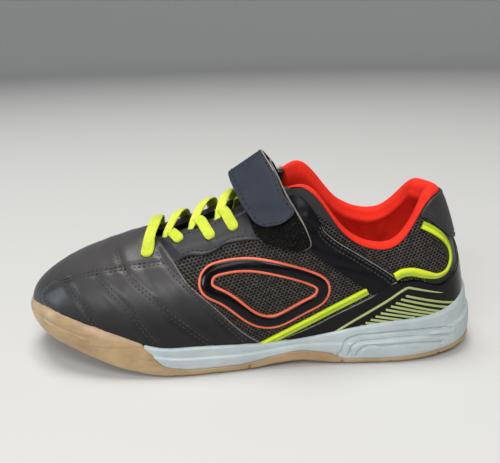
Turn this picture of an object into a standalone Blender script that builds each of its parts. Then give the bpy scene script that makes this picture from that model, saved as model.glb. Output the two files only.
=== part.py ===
"""Indoor court shoe for the left foot, standing empty on its sole.

Shoe places are given in millimetres as along (from the back of the heel to the toe),
across (plus is the outer, lateral side) and up (from the floor).
The finished part has its toe toward -X, its lateral side toward -Y and +Z up.
"""
from collections import namedtuple

import bmesh
import bpy
import numpy as np

MM = 0.001

# Driving sizes
LENGTH = 230.0
BALL_WIDTH = 84.0
INSTEP_HEIGHT = 88.0

# The section table is drawn for a last of these sizes and scaled to the driving sizes.
DRAWN_LENGTH = 230.0
DRAWN_WIDTH = 84.0
DRAWN_INSTEP = 88.0

# Thicknesses and clearances
GAP = 0.3
UPPER_WALL = 2.0
WALL_INSET = 4.0
COVER_THICK = 0.9
INSOLE_THICK = 3.0

# How finely the forms are divided
SIDE_COLUMNS = 25
TOE_COLUMNS = 9
ROWS_ABOVE_LIP = 6

# One row for each section round the shoe, from the back of the heel along the lateral side.
# along, across: the sole's outline; base, lip: where the upper starts and the sole's side ends;
# edge: the collar and throat; swell, rise: how the wall leaves the sole; spread, fall: how it
# comes to the edge.
Section = namedtuple("Section", "name along across base lip edge_along edge_across edge_up "
                                "swell rise spread fall")
SECTIONS = [
    Section("heel back", 0, 0, 17, 33, 19.5, 0, 79, -1.5, 22, 6.5, 15),
    Section("heel corner", 9, 21.5, 17, 28, 23.5, 12, 79, -1, 22, 6, 15),
    Section("heel side", 28, 30, 16.5, 22.8, 31, 18.5, 74, 0, 20, 5, 16),
    Section("ankle rear", 45, 32, 15.5, 21.4, 41, 23.5, 60, 0.5, 15, 3, 12),
    Section("ankle", 64, 32.3, 13.5, 18.6, 54, 26, 56.5, 1, 14, 2, 12),
    Section("waist", 86, 33.2, 10.5, 14.4, 71, 27, 67, 1.5, 18, 2, 16),
    Section("instep", 108, 35.8, 9, 13, 88, 23, 86, 2, 24, 6, 22),
    Section("lace top", 124, 38.4, 9.5, 13.6, 104, 14.5, 79, 2, 26, 14, 20),
    Section("lace middle", 140, 41, 10.5, 14.4, 122, 11, 70.5, 2, 26, 18, 14),
    Section("ball", 156, 42.2, 11.5, 14.8, 140, 10.5, 63.5, 1.5, 25, 19, 10),
    Section("lace front", 172, 41.5, 15.6, 19.9, 153, 9.5, 59.5, 1.5, 23, 18, 8),
    Section("toe side", 190, 38, 20, 25.2, 160, 7, 59.5, 1.5, 22, 20, 8),
    Section("toe corner", 209, 29.5, 23, 29, 162.5, 3.5, 61, 2, 20, 22, 8),
    Section("toe outer", 223, 15, 23.6, 28.8, 163.3, 1.2, 61.5, 2.3, 19, 22, 9),
    Section("toe tip", 230, -4, 23, 27, 163.5, -1, 61.6, 2.5, 18, 22, 9),
    Section("toe inner", 224, -21, 23.6, 28.8, 163.2, -3, 61.3, 2.3, 19, 22, 9),
    Section("medial toe corner", 211, -32.5, 23, 29, 162, -5, 60.8, 2, 20, 22, 8),
    Section("medial toe side", 194, -39, 20, 25.6, 159, -8, 60, 1.5, 22, 20, 8),
    Section("medial lace front", 174, -41.5, 15.6, 20.2, 152, -10, 61, 1.5, 23, 18, 9),
    Section("medial ball", 156, -40, 11.5, 14.8, 139, -11, 65.5, 1.5, 26, 18, 11),
    Section("medial lace middle", 138, -36, 11, 14.7, 121, -11.5, 72.5, 1.5, 28, 16, 16),
    Section("medial lace top", 120, -31.8, 10.5, 14.2, 103, -14.5, 81, 1, 28, 11, 22),
    Section("medial instep", 102, -29, 10.5, 14, 87, -22.5, 88.5, 0.5, 26, 5, 24),
    Section("medial waist", 82, -28.8, 11.5, 15.3, 70, -26.5, 70, 0.5, 20, 1, 18),
    Section("medial ankle", 62, -30, 13.5, 18.6, 53, -26, 61, 0.5, 15, 1.5, 14),
    Section("medial ankle rear", 45, -31, 15.5, 21.4, 40.5, -23.5, 64, 0.5, 16, 3, 13),
    Section("medial heel side", 28, -29.5, 16.5, 22.8, 30.5, -18.5, 75.5, 0, 20, 5, 16),
    Section("medial heel corner", 9, -21.5, 17, 28, 23.5, -12, 79, -1, 22, 6, 15),
]
TOE_TIP = [section.name for section in SECTIONS].index("toe tip")

# Side view of the tread, from the heel to the toe: underside of the gum and top of its band.
Tread = namedtuple("Tread", "along under band")
TREAD = [
    Tread(0, 5.5, 8.4),
    Tread(13, 3.2, 6.2),
    Tread(27, 1.3, 4.3),
    Tread(40, 0.2, 3.2),
    Tread(50, 0, 2.8),
    Tread(66, 0, 2.8),
    Tread(76, 0.9, 6.4),
    Tread(90, 2.7, 8.4),
    Tread(102, 1.8, 6.6),
    Tread(114, 0.2, 4.2),
    Tread(120, 0, 3.5),
    Tread(140, 0, 3.6),
    Tread(148, 0.0, 4.6),
    Tread(157, 0.9, 6.6),
    Tread(172, 4.0, 8.4),
    Tread(186, 7.8, 12),
    Tread(201, 11.8, 16),
    Tread(214, 14.6, 18.8),
    Tread(230, 16.5, 20.6),
]


def closed_spline(knots, values, period):
    """Smooth closed curve through rows of values; returns a function of place and order."""
    steps = np.diff(np.append(knots, period))
    count = len(knots)
    matrix = np.zeros((count, count))
    slopes = (np.roll(values, -1, axis=0) - values) / steps[:, None]
    for row in range(count):
        before = steps[row - 1]
        after = steps[row]
        matrix[row, row - 1] = before
        matrix[row, row] = 2 * (before + after)
        matrix[row, (row + 1) % count] = after
    bends = np.linalg.solve(matrix, 6 * (slopes - np.roll(slopes, 1, axis=0)))

    def curve(place, order=0):
        place = np.mod(np.asarray(place, dtype=float), period)
        row = np.clip(np.searchsorted(knots, place, side="right") - 1, 0, count - 1)
        following = (row + 1) % count
        step = steps[row][..., None]
        late = (place - knots[row])[..., None] / step
        early = 1 - late
        start, end = values[row], values[following]
        bend, next_bend = bends[row], bends[following]
        if order == 0:
            curving = (early ** 3 - early) * bend + (late ** 3 - late) * next_bend
            return early * start + late * end + step ** 2 / 6 * curving
        curving = (1 - 3 * early ** 2) * bend + (3 * late ** 2 - 1) * next_bend
        return (end - start) / step + step / 6 * curving

    return curve


def eased(xs, ys):
    """Curve through points that never overshoots, so equal neighbours stay flat between them."""
    xs = np.asarray(xs, dtype=float)
    ys = np.asarray(ys, dtype=float)
    steps = np.diff(xs)
    slopes = np.diff(ys) / steps
    tangents = np.zeros_like(ys)
    same_way = slopes[:-1] * slopes[1:] > 0
    mean = 2 * slopes[:-1] * slopes[1:] / np.where(same_way, slopes[:-1] + slopes[1:], 1)
    tangents[1:-1] = np.where(same_way, mean, 0)
    tangents[0] = slopes[0]
    tangents[-1] = slopes[-1]

    def curve(x):
        x = np.clip(np.asarray(x, dtype=float), xs[0], xs[-1])
        row = np.clip(np.searchsorted(xs, x, side="right") - 1, 0, len(steps) - 1)
        step = steps[row]
        t = (x - xs[row]) / step
        start = ys[row] * (1 + 2 * t) * (1 - t) ** 2 + tangents[row] * step * t * (1 - t) ** 2
        end = ys[row + 1] * t ** 2 * (3 - 2 * t) + tangents[row + 1] * step * t ** 2 * (t - 1)
        return start + end

    return curve


def smooth_step(low, high, x):
    share = np.clip((x - low) / (high - low), 0, 1)
    return share * share * (3 - 2 * share)


# The loop: place 0 is the back of the heel, then the lateral side, the toe and the medial side.
ALONG_SCALE = LENGTH / DRAWN_LENGTH
ACROSS_SCALE = BALL_WIDTH / DRAWN_WIDTH
UP_SCALE = INSTEP_HEIGHT / DRAWN_INSTEP
COLUMN_SCALES = np.array([ALONG_SCALE, ACROSS_SCALE, UP_SCALE, UP_SCALE, ALONG_SCALE, ACROSS_SCALE,
                          UP_SCALE, ACROSS_SCALE, UP_SCALE, ACROSS_SCALE, UP_SCALE])
ROWS = np.array([section[1:] for section in SECTIONS], dtype=float) * COLUMN_SCALES
CHORDS = np.linalg.norm(np.roll(ROWS[:, :2], -1, axis=0) - ROWS[:, :2], axis=1)
KNOTS = np.concatenate([[0], np.cumsum(CHORDS)[:-1]]) / CHORDS.sum()
LOOP = closed_spline(KNOTS, ROWS, 1.0)
TOE_PLACE = KNOTS[TOE_TIP]
TREAD_UNDER = eased([row.along * ALONG_SCALE for row in TREAD], [row.under for row in TREAD])
TREAD_BAND = eased([row.along * ALONG_SCALE for row in TREAD], [row.band for row in TREAD])


def outline(place, inset=0.0):
    """Plan of the sole, moved inward by inset: along and across."""
    flat = LOOP(place)[..., :2]
    return flat - outward(place) * np.asarray(inset)[..., None]


def outward(place):
    slope = LOOP(place, order=1)[..., :2]
    slope = slope / np.linalg.norm(slope, axis=-1, keepdims=True)
    return np.stack([-slope[..., 1], slope[..., 0]], axis=-1)


def at_height(flat, up):
    return np.concatenate([flat, np.broadcast_to(up, flat.shape[:-1])[..., None]], axis=-1)


def wall(place, rise):
    """Outside of the upper: rise runs from 0 at the sole to 1 at the collar and throat edge."""
    place, rise = np.broadcast_arrays(np.asarray(place, dtype=float), np.asarray(rise, dtype=float))
    row = LOOP(place)
    out = at_height(outward(place), 0.0)
    up = np.array([0.0, 0.0, 1.0])
    start = at_height(outline(place, np.full(place.shape, WALL_INSET)), row[..., 2])
    edge = row[..., 4:7]
    near_start = start + out * row[..., 7:8] + up * row[..., 8:9]
    near_edge = edge + out * row[..., 9:10] - up * row[..., 10:11]
    t = rise[..., None]
    return ((1 - t) ** 3 * start + 3 * t * (1 - t) ** 2 * near_start
            + 3 * t ** 2 * (1 - t) * near_edge + t ** 3 * edge)


def skin(place, rise, off=0.0):
    """Point off the upper's outside by a distance along its normal."""
    place, rise = np.broadcast_arrays(np.asarray(place, dtype=float), np.asarray(rise, dtype=float))
    nudge = 1e-4
    round_slope = wall(place + nudge, rise) - wall(place - nudge, rise)
    low = np.clip(rise - nudge, 0, 1)
    high = np.clip(rise + nudge, 0, 1)
    up_slope = wall(place, high) - wall(place, low)
    normal = np.cross(up_slope, round_slope)
    normal /= np.linalg.norm(normal, axis=-1, keepdims=True)
    return wall(place, rise) + normal * np.asarray(off)[..., None]


def wrap_place(start, end):
    """Place between two others where the gum starts to cover the whole side."""
    tries = np.linspace(start, end, 2000)
    return tries[np.abs(LOOP(tries)[:, 0] - TOE_WRAP_END * ALONG_SCALE).argmin()]


def half_columns(start, end, wrap):
    """Places from heel to toe, with five close together where midsole and gum change over."""
    beside = CHANGE_OVER_STEPS / CHORDS.sum() * np.sign(end - start)
    side = np.linspace(start, wrap + beside[0], SIDE_COLUMNS)
    toe = np.linspace(wrap + beside[-1], end, TOE_COLUMNS)
    return np.concatenate([side, wrap + beside[1:-1], toe])


def columns():
    """Places round the loop, so that column k faces column count - k across the shoe."""
    lateral = half_columns(0, TOE_PLACE, LATERAL_WRAP)
    medial = half_columns(1, TOE_PLACE, MEDIAL_WRAP)
    return np.concatenate([lateral, medial[1:-1][::-1]])


# Where the gum rises to wrap the toe
TOE_WRAP_START = 155.5
TOE_WRAP_END = 163.0
CHANGE_OVER_STEPS = np.array([-0.75, -0.45, -0.15, 0.15, 0.45])
LATERAL_WRAP = wrap_place(0.25, TOE_PLACE)
MEDIAL_WRAP = wrap_place(TOE_PLACE, 0.75)
PLACES = columns()
CHANGE_OVER = SIDE_COLUMNS
COLUMN_COUNT = len(PLACES)
NUMBER_FROM_HEEL = np.minimum(np.arange(COLUMN_COUNT), COLUMN_COUNT - np.arange(COLUMN_COUNT))
# The upper leaves out the close columns that only the sole needs.
ONLY_FOR_SOLE = (NUMBER_FROM_HEEL >= CHANGE_OVER) & (NUMBER_FROM_HEEL < CHANGE_OVER + 3)
UPPER_PLACES = PLACES[~ONLY_FOR_SOLE]
EDGE_RING = outline(PLACES)
CENTRE = (EDGE_RING.max(axis=0) + EDGE_RING.min(axis=0)) / 2


def to_world(points):
    """Shoe millimetres to metres, toe toward -X and lateral side toward -Y."""
    points = np.asarray(points, dtype=float)
    return np.stack([CENTRE[0] - points[..., 0], CENTRE[1] - points[..., 1], points[..., 2]], -1) * MM


def start_collection():
    for item in list(bpy.data.objects):
        bpy.data.objects.remove(item, do_unlink=True)
    for name in ("indoor court shoe", "cutters"):
        bpy.context.scene.collection.children.link(bpy.data.collections.new(name))
    return bpy.data.collections["indoor court shoe"], bpy.data.collections["cutters"]


PARTS, CUTTERS = start_collection()


def keep(name, mesh, colour, collection=PARTS):
    """Close the mesh, turn its faces outward and link it with a material of its own."""
    working = bmesh.new()
    working.from_mesh(mesh)
    bmesh.ops.recalc_face_normals(working, faces=working.faces)
    bmesh.ops.triangulate(working, faces=working.faces, quad_method="BEAUTY")
    working.to_mesh(mesh)
    working.free()
    item = bpy.data.objects.new(name, mesh)
    collection.objects.link(item)
    material = bpy.data.materials.new(name)
    material.use_nodes = True
    material.node_tree.nodes["Principled BSDF"].inputs["Base Color"].default_value = (*colour, 1)
    material.diffuse_color = (*colour, 1)
    mesh.materials.append(material)
    return item


def loft(name, grid, colour, round_columns=False, round_rows=False, ladders=False, strips=False):
    """Solid over a grid of points [row, column, 3].

    round_columns, round_rows: the last joins the first.  ladders: the first and last row are
    filled straight across the shoe.  strips: the first and last column are closed by joining
    each row to the one that faces it in the section.
    """
    row_count, column_count = grid.shape[:2]
    number = np.arange(row_count * column_count).reshape(row_count, column_count)
    faces = []
    for row in range(row_count if round_rows else row_count - 1):
        above = (row + 1) % row_count
        for column in range(column_count if round_columns else column_count - 1):
            beside = (column + 1) % column_count
            faces.append((number[row, column], number[row, beside],
                          number[above, beside], number[above, column]))
    if ladders:
        for row in (0, row_count - 1):
            for column in range(column_count // 2):
                corners = [number[row, column], number[row, column + 1],
                           number[row, -column - 1], number[row, -column % column_count]]
                faces.append(tuple(dict.fromkeys(corners)))
    if strips:
        for column in (0, column_count - 1):
            for row in range(row_count // 2 - 1):
                facing = row_count - 1 - row
                faces.append((number[row, column], number[row + 1, column],
                              number[facing - 1, column], number[facing, column]))
    mesh = bpy.data.meshes.new(name)
    mesh.from_pydata(to_world(grid).reshape(-1, 3).tolist(), [], [tuple(map(int, f)) for f in faces])
    return keep(name, mesh, colour)


def lip_rise(place):
    """Share of the upper's wall that the sole's side covers."""
    lip = LOOP(place)[..., 3]
    low = np.zeros_like(lip)
    high = np.full_like(lip, 0.7)
    for _ in range(30):
        middle = (low + high) / 2
        short = wall(place, middle)[..., 2] < lip
        low = np.where(short, middle, low)
        high = np.where(short, high, middle)
    return low


# Upper
def wall_rises(place):
    """Rows up the wall: two as far as the sole's lip, then even steps to the edge."""
    lip = lip_rise(place)
    steps = np.linspace(0, 1, ROWS_ABOVE_LIP + 1)[1:, None]
    return np.concatenate([[lip * 0, lip / 2, lip], lip + (1 - lip) * steps])


def make_upper():
    rises = wall_rises(UPPER_PLACES)
    # The inside does without the row half way up to the lip.
    inside_rises = np.delete(rises, 1, axis=0)
    outside = [skin(UPPER_PLACES, rise) for rise in rises]
    inside = [skin(UPPER_PLACES, rise, -UPPER_WALL) for rise in inside_rises[::-1]]
    loft("upper", np.array(outside + inside), (0.03, 0.03, 0.04), round_columns=True, round_rows=True)


# Sole
GUM_WALL = 4.5
LIP_SET_IN = 1.8
BELOW_BED_AT_WRAP = 2.0
# Grooves across the tread, from the heel to the toe
TREAD_GROOVES = [21, 45, 69, 114, 131, 148, 166]
GROOVE_WIDTH = 2.2
GROOVE_DEPTH = 1.2
GROOVE_CUT = 6.0

ALONG = EDGE_RING[:, 0]
LIP = LOOP(PLACES)[:, 3]
BASE = LOOP(PLACES)[:, 2]
SEAT = TREAD_BAND(ALONG)
WRAP = smooth_step(TOE_WRAP_START * ALONG_SCALE, TOE_WRAP_END * ALONG_SCALE, ALONG)
GUM_TOP = SEAT + (BASE - BELOW_BED_AT_WRAP - SEAT) * WRAP
LIP_RISE = lip_rise(PLACES)
WHITE_FLANGE = NUMBER_FROM_HEEL == CHANGE_OVER
WHITE_INSIDE = NUMBER_FROM_HEEL > CHANGE_OVER
GUM_OUTSIDE = NUMBER_FROM_HEEL > CHANGE_OVER + 2


def ring(inset, up):
    inset = np.broadcast_to(np.asarray(inset, dtype=float), PLACES.shape)
    return at_height(outline(PLACES, inset), up)


def choose(at_toe, toe_ring, side_ring):
    return np.where(at_toe[:, None], toe_ring, side_ring)


def combine(item, other, operation):
    """Cut the other solid out of this one, or melt it in."""
    modifier = item.modifiers.new(other.name, "BOOLEAN")
    modifier.operation = operation
    modifier.solver = "EXACT"
    modifier.object = other
    PARTS.objects.unlink(other)
    CUTTERS.objects.link(other)
    other.hide_render = True
    other.display_type = "WIRE"


def groove_box(number, along):
    """Box right across the sole that cuts one groove between two blocks of the tread."""
    top = TREAD_UNDER(along) + GROOVE_DEPTH
    section = [(along - GROOVE_WIDTH / 2, top), (along + GROOVE_WIDTH / 2, top),
               (along + GROOVE_WIDTH / 2, top - GROOVE_CUT), (along - GROOVE_WIDTH / 2, top - GROOVE_CUT)]
    grid = np.array([[(x, across, z) for across in (-BALL_WIDTH, BALL_WIDTH)] for x, z in section])
    return loft("groove %d" % number, grid, (0.5, 0.35, 0.2), strips=True, round_rows=True)


def make_outsole():
    under = TREAD_UNDER(ALONG)
    rows = [
        ring(4.0, under),
        ring(1.2, under + 0.5),
        ring(0.0, under + 2.0),
        choose(GUM_OUTSIDE, ring(0.3, (under + LIP) / 2), ring(0.0, (under + 2 + GUM_TOP) / 2)),
        choose(GUM_OUTSIDE, ring(LIP_SET_IN, LIP), ring(0.4, GUM_TOP)),
        choose(GUM_OUTSIDE, skin(PLACES, LIP_RISE, GAP), ring(1.6, GUM_TOP)),
        choose(GUM_OUTSIDE, skin(PLACES, LIP_RISE / 2, GAP), ring(2.8, GUM_TOP)),
        choose(GUM_OUTSIDE, skin(PLACES, 0, GAP), ring(3.8, GUM_TOP)),
        ring(GUM_WALL, SEAT),
    ]
    outsole = loft("outsole", np.array(rows), (0.5, 0.35, 0.2), round_columns=True, ladders=True)
    for number, along in enumerate(TREAD_GROOVES, 1):
        combine(outsole, groove_box(number, along * ALONG_SCALE), "DIFFERENCE")


# Midsole side, as a share of its height: set in from the outline at the forefoot and at the heel.
SideStep = namedtuple("SideStep", "share forefoot heel")
MIDSOLE_SIDE = [
    SideStep(0.00, 0.6, 0.6),
    SideStep(0.10, 0.0, 0.0),
    SideStep(0.24, 0.0, 0.1),
    SideStep(0.27, 0.0, 0.9),
    SideStep(0.40, 0.1, 0.3),
    SideStep(0.43, 0.1, 1.1),
    SideStep(0.56, 0.2, 0.6),
    SideStep(0.60, 1.0, 1.6),
    SideStep(1.00, LIP_SET_IN, LIP_SET_IN),
]
HEEL_PANEL_END = 72.0
HEEL_KICK = 2.5
HEEL_KICK_END = 16.0


def make_midsole():
    heel = 1 - smooth_step(HEEL_PANEL_END - 4, HEEL_PANEL_END + 4, ALONG)
    kick = HEEL_KICK * (1 - smooth_step(0, HEEL_KICK_END, ALONG))
    foot = GUM_TOP + GAP
    bed = BASE - GAP
    inner = GUM_WALL + GAP
    ledge = at_height(skin(PLACES, 0, GAP)[:, :2], bed)
    below_lip = (skin(PLACES, LIP_RISE, GAP), skin(PLACES, LIP_RISE / 2, GAP), ledge)
    flange = (ring(2.4, bed), ring(3.0, bed), ledge)
    side_rows = []
    for step in MIDSOLE_SIDE:
        inset = step.forefoot + (step.heel - step.forefoot) * heel + kick * step.share ** 2
        side = ring(inset, foot + (LIP - foot) * step.share)
        side = choose(WHITE_FLANGE, ring(inset, foot + (bed - foot) * step.share), side)
        side_rows.append(choose(WHITE_INSIDE, ring(inner, foot + (bed - foot) * 0.7 * step.share), side))
    for share, lip_row, flange_row in zip((0.8, 0.9, 1.0), below_lip, flange):
        side = choose(WHITE_FLANGE, flange_row, lip_row)
        side_rows.append(choose(WHITE_INSIDE, ring(inner, foot + (bed - foot) * share), side))
    rows = [
        ring(GUM_WALL + 3, SEAT + GAP),
        ring(inner, SEAT + GAP),
        ring(inner, foot - 0.05),
        *side_rows,
        ring(GUM_WALL + 4, bed),
    ]
    return loft("midsole", np.array(rows), (0.8, 0.84, 0.86), round_columns=True, ladders=True)


def make_insole():
    inset = WALL_INSET + UPPER_WALL + 0.8
    rows = [ring(inset, BASE + GAP), ring(inset, BASE + GAP + INSOLE_THICK)]
    return loft("insole", np.array(rows), (0.5, 0.1, 0.04), round_columns=True, ladders=True)


make_upper()
make_outsole()
make_midsole()
make_insole()


# Padded collar, from its lateral front round the heel to its medial front
COLLAR_START = 0.245
COLLAR_END = -0.240
COLLAR_TAPER = 0.05
COLLAR_TAPERED = 0.4
# Thickness of the padding at each row of the wall above the lip, from low down to the edge.
PADDING = [1.2, 1.6, 2.6, 4.2, 6.0]
# Roll over the collar's edge, in from its outside and up from it.
Roll = namedtuple("Roll", "inward up")
COLLAR_ROLL = [Roll(0.2, 2.0), Roll(3.2, 3.4), Roll(7.4, 1.8)]


def make_collar_lining():
    lateral = PLACES[PLACES < COLLAR_START][::-1]
    medial = PLACES[PLACES > 1 + COLLAR_END][::-1] - 1
    places = np.concatenate([lateral, medial])
    from_end = np.minimum(places[0] - places, places - places[-1])
    full = COLLAR_TAPERED + (1 - COLLAR_TAPERED) * smooth_step(0, COLLAR_TAPER, from_end)
    behind = UPPER_WALL + GAP
    rises = wall_rises(places)[3:]
    edge = wall(places, 1)
    out = skin(places, 1, 1.0) - edge
    climb = edge - wall(places, 0.98)
    climb /= np.linalg.norm(climb, axis=-1, keepdims=True)
    rows = [skin(places, rise, -behind) for rise in rises]
    rows.append(edge - out * behind + climb * GAP)
    rows.append(edge + out * GAP + climb * GAP)
    for step in COLLAR_ROLL:
        rows.append(edge - out * (step.inward * full)[:, None] + climb * (step.up * full)[:, None])
    for rise, thick in zip(rises[-2::-1], PADDING[::-1]):
        rows.append(skin(places, rise, -behind - thick * full))
    return loft("collar_lining", np.array(rows), (0.8, 0.06, 0.02), strips=True, round_rows=True)


# Tongue: centre line from the vamp to its free top, half width and how far its sides drop.
TongueRow = namedtuple("TongueRow", "along crown half_width drop")
TONGUE = [
    TongueRow(176, 50.0, 8, 1.6),
    TongueRow(165, 55.0, 12, 4),
    TongueRow(152, 58.0, 17, 9),
    TongueRow(138, 62.6, 19, 11),
    TongueRow(122, 69.4, 19, 12),
    TongueRow(108, 76.6, 18, 14),
    TongueRow(97, 80.4, 15, 11),
    TongueRow(91, 81.4, 9.5, 5),
]
TONGUE_THICK = 3.0
TONGUE_STEPS = 9


def make_tongue():
    shares = np.linspace(-1, 1, TONGUE_STEPS)
    table = np.array(TONGUE, dtype=float)
    top = np.stack([np.stack([np.full_like(shares, row.along), shares * row.half_width,
                              row.crown - row.drop * shares ** 2], -1) for row in TONGUE], 1)
    slope = np.gradient(table[:, 1]) / np.gradient(table[:, 0])
    down = np.stack([slope, np.zeros_like(slope), -np.ones_like(slope)], -1)
    down *= TONGUE_THICK / np.linalg.norm(down, axis=-1, keepdims=True)
    under = top + down[None, :, :]
    return loft("tongue", np.concatenate([top, under[::-1]]), (0.02, 0.02, 0.02),
                strips=True, round_rows=True)


# Covers: thin panels laid on the upper, their edges given in side view
COVER_GAP = 0.4
SIDE_GRID = 160


def side_grid(side):
    ends = (0, TOE_PLACE) if side == "lateral" else (TOE_PLACE, 1)
    return np.meshgrid(np.linspace(*ends, SIDE_GRID), np.linspace(0, 1, SIDE_GRID), indexing="ij")


SIDES = {side: side_grid(side) for side in ("lateral", "medial")}


def on_side(side, along, up):
    """Place and rise of the point of the upper that side view shows at along and up."""
    places, rises = SIDES[side]
    target = np.array([along, up])
    seen = wall(places, rises)[..., [0, 2]]
    nearest = np.unravel_index(((seen - target) ** 2).sum(-1).argmin(), places.shape)
    spot = np.array([places[nearest], rises[nearest]])
    nudge = 1e-4
    for _ in range(4):
        here = wall(*spot)[[0, 2]]
        turn = np.stack([wall(spot[0] + nudge, spot[1])[[0, 2]] - here,
                         wall(spot[0], spot[1] + nudge)[[0, 2]] - here], -1) / nudge
        spot = spot + np.clip(np.linalg.solve(turn, target - here), -0.01, 0.01)
    spot[1] = np.clip(spot[1], 0, 1)
    return spot


def side_line(side, points, count):
    """Smooth line on the upper through side-view points, as places and rises."""
    spots = np.array([on_side(side, *point) for point in points])
    far = np.concatenate([[0], np.cumsum(np.linalg.norm(np.diff(np.array(points, float), axis=0), axis=1))])
    wanted = np.linspace(0, far[-1], count)
    return np.stack([eased(far, spots[:, 0])(wanted), eased(far, spots[:, 1])(wanted)], -1)


def side_loop(side, points, count):
    """Closed smooth line on the upper through side-view points, as places and rises."""
    points = np.array(points, dtype=float)
    steps = np.linalg.norm(np.roll(points, -1, axis=0) - points, axis=1)
    curve = closed_spline(np.cumsum(steps) - steps, points, steps.sum())
    seen = curve(np.linspace(0, steps.sum(), count, endpoint=False))
    return np.array([on_side(side, *point) for point in seen])


def cover(name, first_edge, second_edge, rows, colour, gap=COVER_GAP, thick=COVER_THICK):
    """Panel between two lines of places and rises."""
    shares = np.linspace(0, 1, rows + 1)[:, None, None]
    spots = first_edge[None] * (1 - shares) + second_edge[None] * shares
    under = skin(spots[..., 0], spots[..., 1], gap)
    over = skin(spots[..., 0], spots[..., 1], gap + thick)
    return loft(name, np.concatenate([over, under[::-1]]), colour, strips=True, round_rows=True)


def ribbon_cover(name, line, widths, colour, closed=False, gap=COVER_GAP, thick=COVER_THICK):
    """Narrow band along a line of places and rises, square to the upper."""
    middle = wall(line[:, 0], line[:, 1])
    out = skin(line[:, 0], line[:, 1], 1.0) - middle
    ahead = np.gradient(middle, axis=0)
    if closed:
        ahead = np.roll(middle, -1, axis=0) - np.roll(middle, 1, axis=0)
    beside = np.cross(out, ahead)
    beside /= np.linalg.norm(beside, axis=-1, keepdims=True)
    beside *= np.asarray(widths)[:, None] / 2
    rows = [middle + beside + out * (gap + thick), middle - beside + out * (gap + thick),
            middle - beside + out * gap, middle + beside + out * gap]
    return loft(name, np.array(rows), colour, round_columns=closed, strips=not closed, round_rows=True)


LEATHER = (0.035, 0.038, 0.05)
LIME = (0.5, 0.75, 0.02)
FILM = (0.01, 0.01, 0.012)

# Edges of the covers in side view of the lateral side, as points along and up
EYESTAY_EDGE = [(154.6, 57.4), (151, 55.4), (147, 53.8), (140.4, 54.8), (131.8, 55.5), (127, 57.5),
                (122.8, 59.6), (113.8, 60.6), (107, 62)]
BAND_TOP = [
    (97, 81), (90, 82.4), (84.2, 77.4), (80.4, 71), (77.4, 65.6), (62.3, 54.4), (47.6, 45.0), (44.5, 42.9),
]
BAND_FOOT = [(100, 64), (92, 63), (84, 57), (76, 50.5), (65, 42.5), (57, 36.6), (54.8, 35.0)]
COUNTER_EDGE = [(88, 18), (70, 26.8), (56, 33.8), (47, 39.8), (37, 41.0), (22, 37.6), (14.4, 41)]
COUNTER_BACK = 54.5
TAB_EDGE = [(31.5, 69.4), (24.4, 65.6), (15.8, 58.4)]
TAB_BACK = 56.5
LIME_LOWER = [(98, 16.6), (89.4, 20.4), (70.3, 30.2), (60.6, 35.2)]
LIME_COLLAR = [(31.6, 65.8), (24.4, 62.2), (18.4, 56.6), (16.2, 48.4), (18.2, 43.2), (22.0, 41.4),
               (29.3, 43.2), (37.8, 45.0), (42.6, 43.6)]
SIDE_FRAME = [(133, 42.4), (132.2, 47), (126, 50), (116.5, 51.2), (105, 50.6), (93, 47.8), (83.6, 44.2),
              (78.8, 40.2), (79.4, 35.6), (85.6, 31.2), (94, 26.8), (101.4, 23.9), (108.8, 24.8), (117.5, 31),
              (127, 38)]
# Rear edge of the vamp, from just above the sole to the throat
VAMP_EDGE = [(110, 14.8), (115, 18), (131, 34.5), (141.5, 43.7), (149.5, 51.4), (159, 58.4)]
VAMP_GAP = 0.6
THROAT_RISE = 0.985
ABOVE_LIP = 0.012
FRAME_WIDTH = 6.4
LIME_LOWER_WIDTH = 3.2
LIME_COLLAR_WIDTHS = (2.6, 3.8)
MEDIAL_HIGHER = 2.0
# Least step between the places of two columns of a cover
LEAST_STEP = 0.004


def raised(points, side, share=1.0):
    lift = MEDIAL_HIGHER * share if side == "medial" else 0.0
    return [(along, up + lift) for along, up in points]


def round_heel(points, back_up):
    """Line round the heel at the upper's own columns, through the same side view on both sides."""
    halves = []
    for side, turn in (("lateral", 0.0), ("medial", 1.0)):
        spots = [on_side(side, *point) for point in points]
        spots.append(np.array([turn, on_side(side, wall(0, 0.5)[0], back_up)[1]]))
        spots = np.array(spots)[::-1]
        from_back = np.abs(spots[:, 0] - turn)
        own = np.abs(PLACES - turn)
        own = np.sort(own[own < from_back[-1] - LEAST_STEP])
        own = np.append(own, from_back[-1])
        rises = eased(from_back, spots[:, 1])(own)
        halves.append(np.stack([own if side == "lateral" else -own, rises], -1))
    if halves[1][0, 0] == 0:
        halves[1] = halves[1][1:]
    return np.concatenate([halves[0][::-1], halves[1]])


def round_toe(points):
    """Line round the toe at the upper's own columns: up the rear edge, then along the throat."""
    halves = []
    for side in ("lateral", "medial"):
        spots = np.array([on_side(side, *point) for point in raised(points, side)])
        from_toe = np.abs(spots[:, 0] - TOE_PLACE)
        own = TOE_PLACE - UPPER_PLACES if side == "lateral" else UPPER_PLACES - TOE_PLACE
        own = np.sort(own[(own > -LEAST_STEP) & (own < from_toe[0] - LEAST_STEP)])
        own = np.append(own[1:] if side == "medial" else own, from_toe[0])
        rises = eased(from_toe[::-1], spots[::-1, 1])(own)
        rises = np.where(own < from_toe[-1], THROAT_RISE, rises)
        halves.append(np.stack([TOE_PLACE + (own if side == "medial" else -own), rises], -1))
    return np.concatenate([halves[0][::-1], halves[1]])


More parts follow.
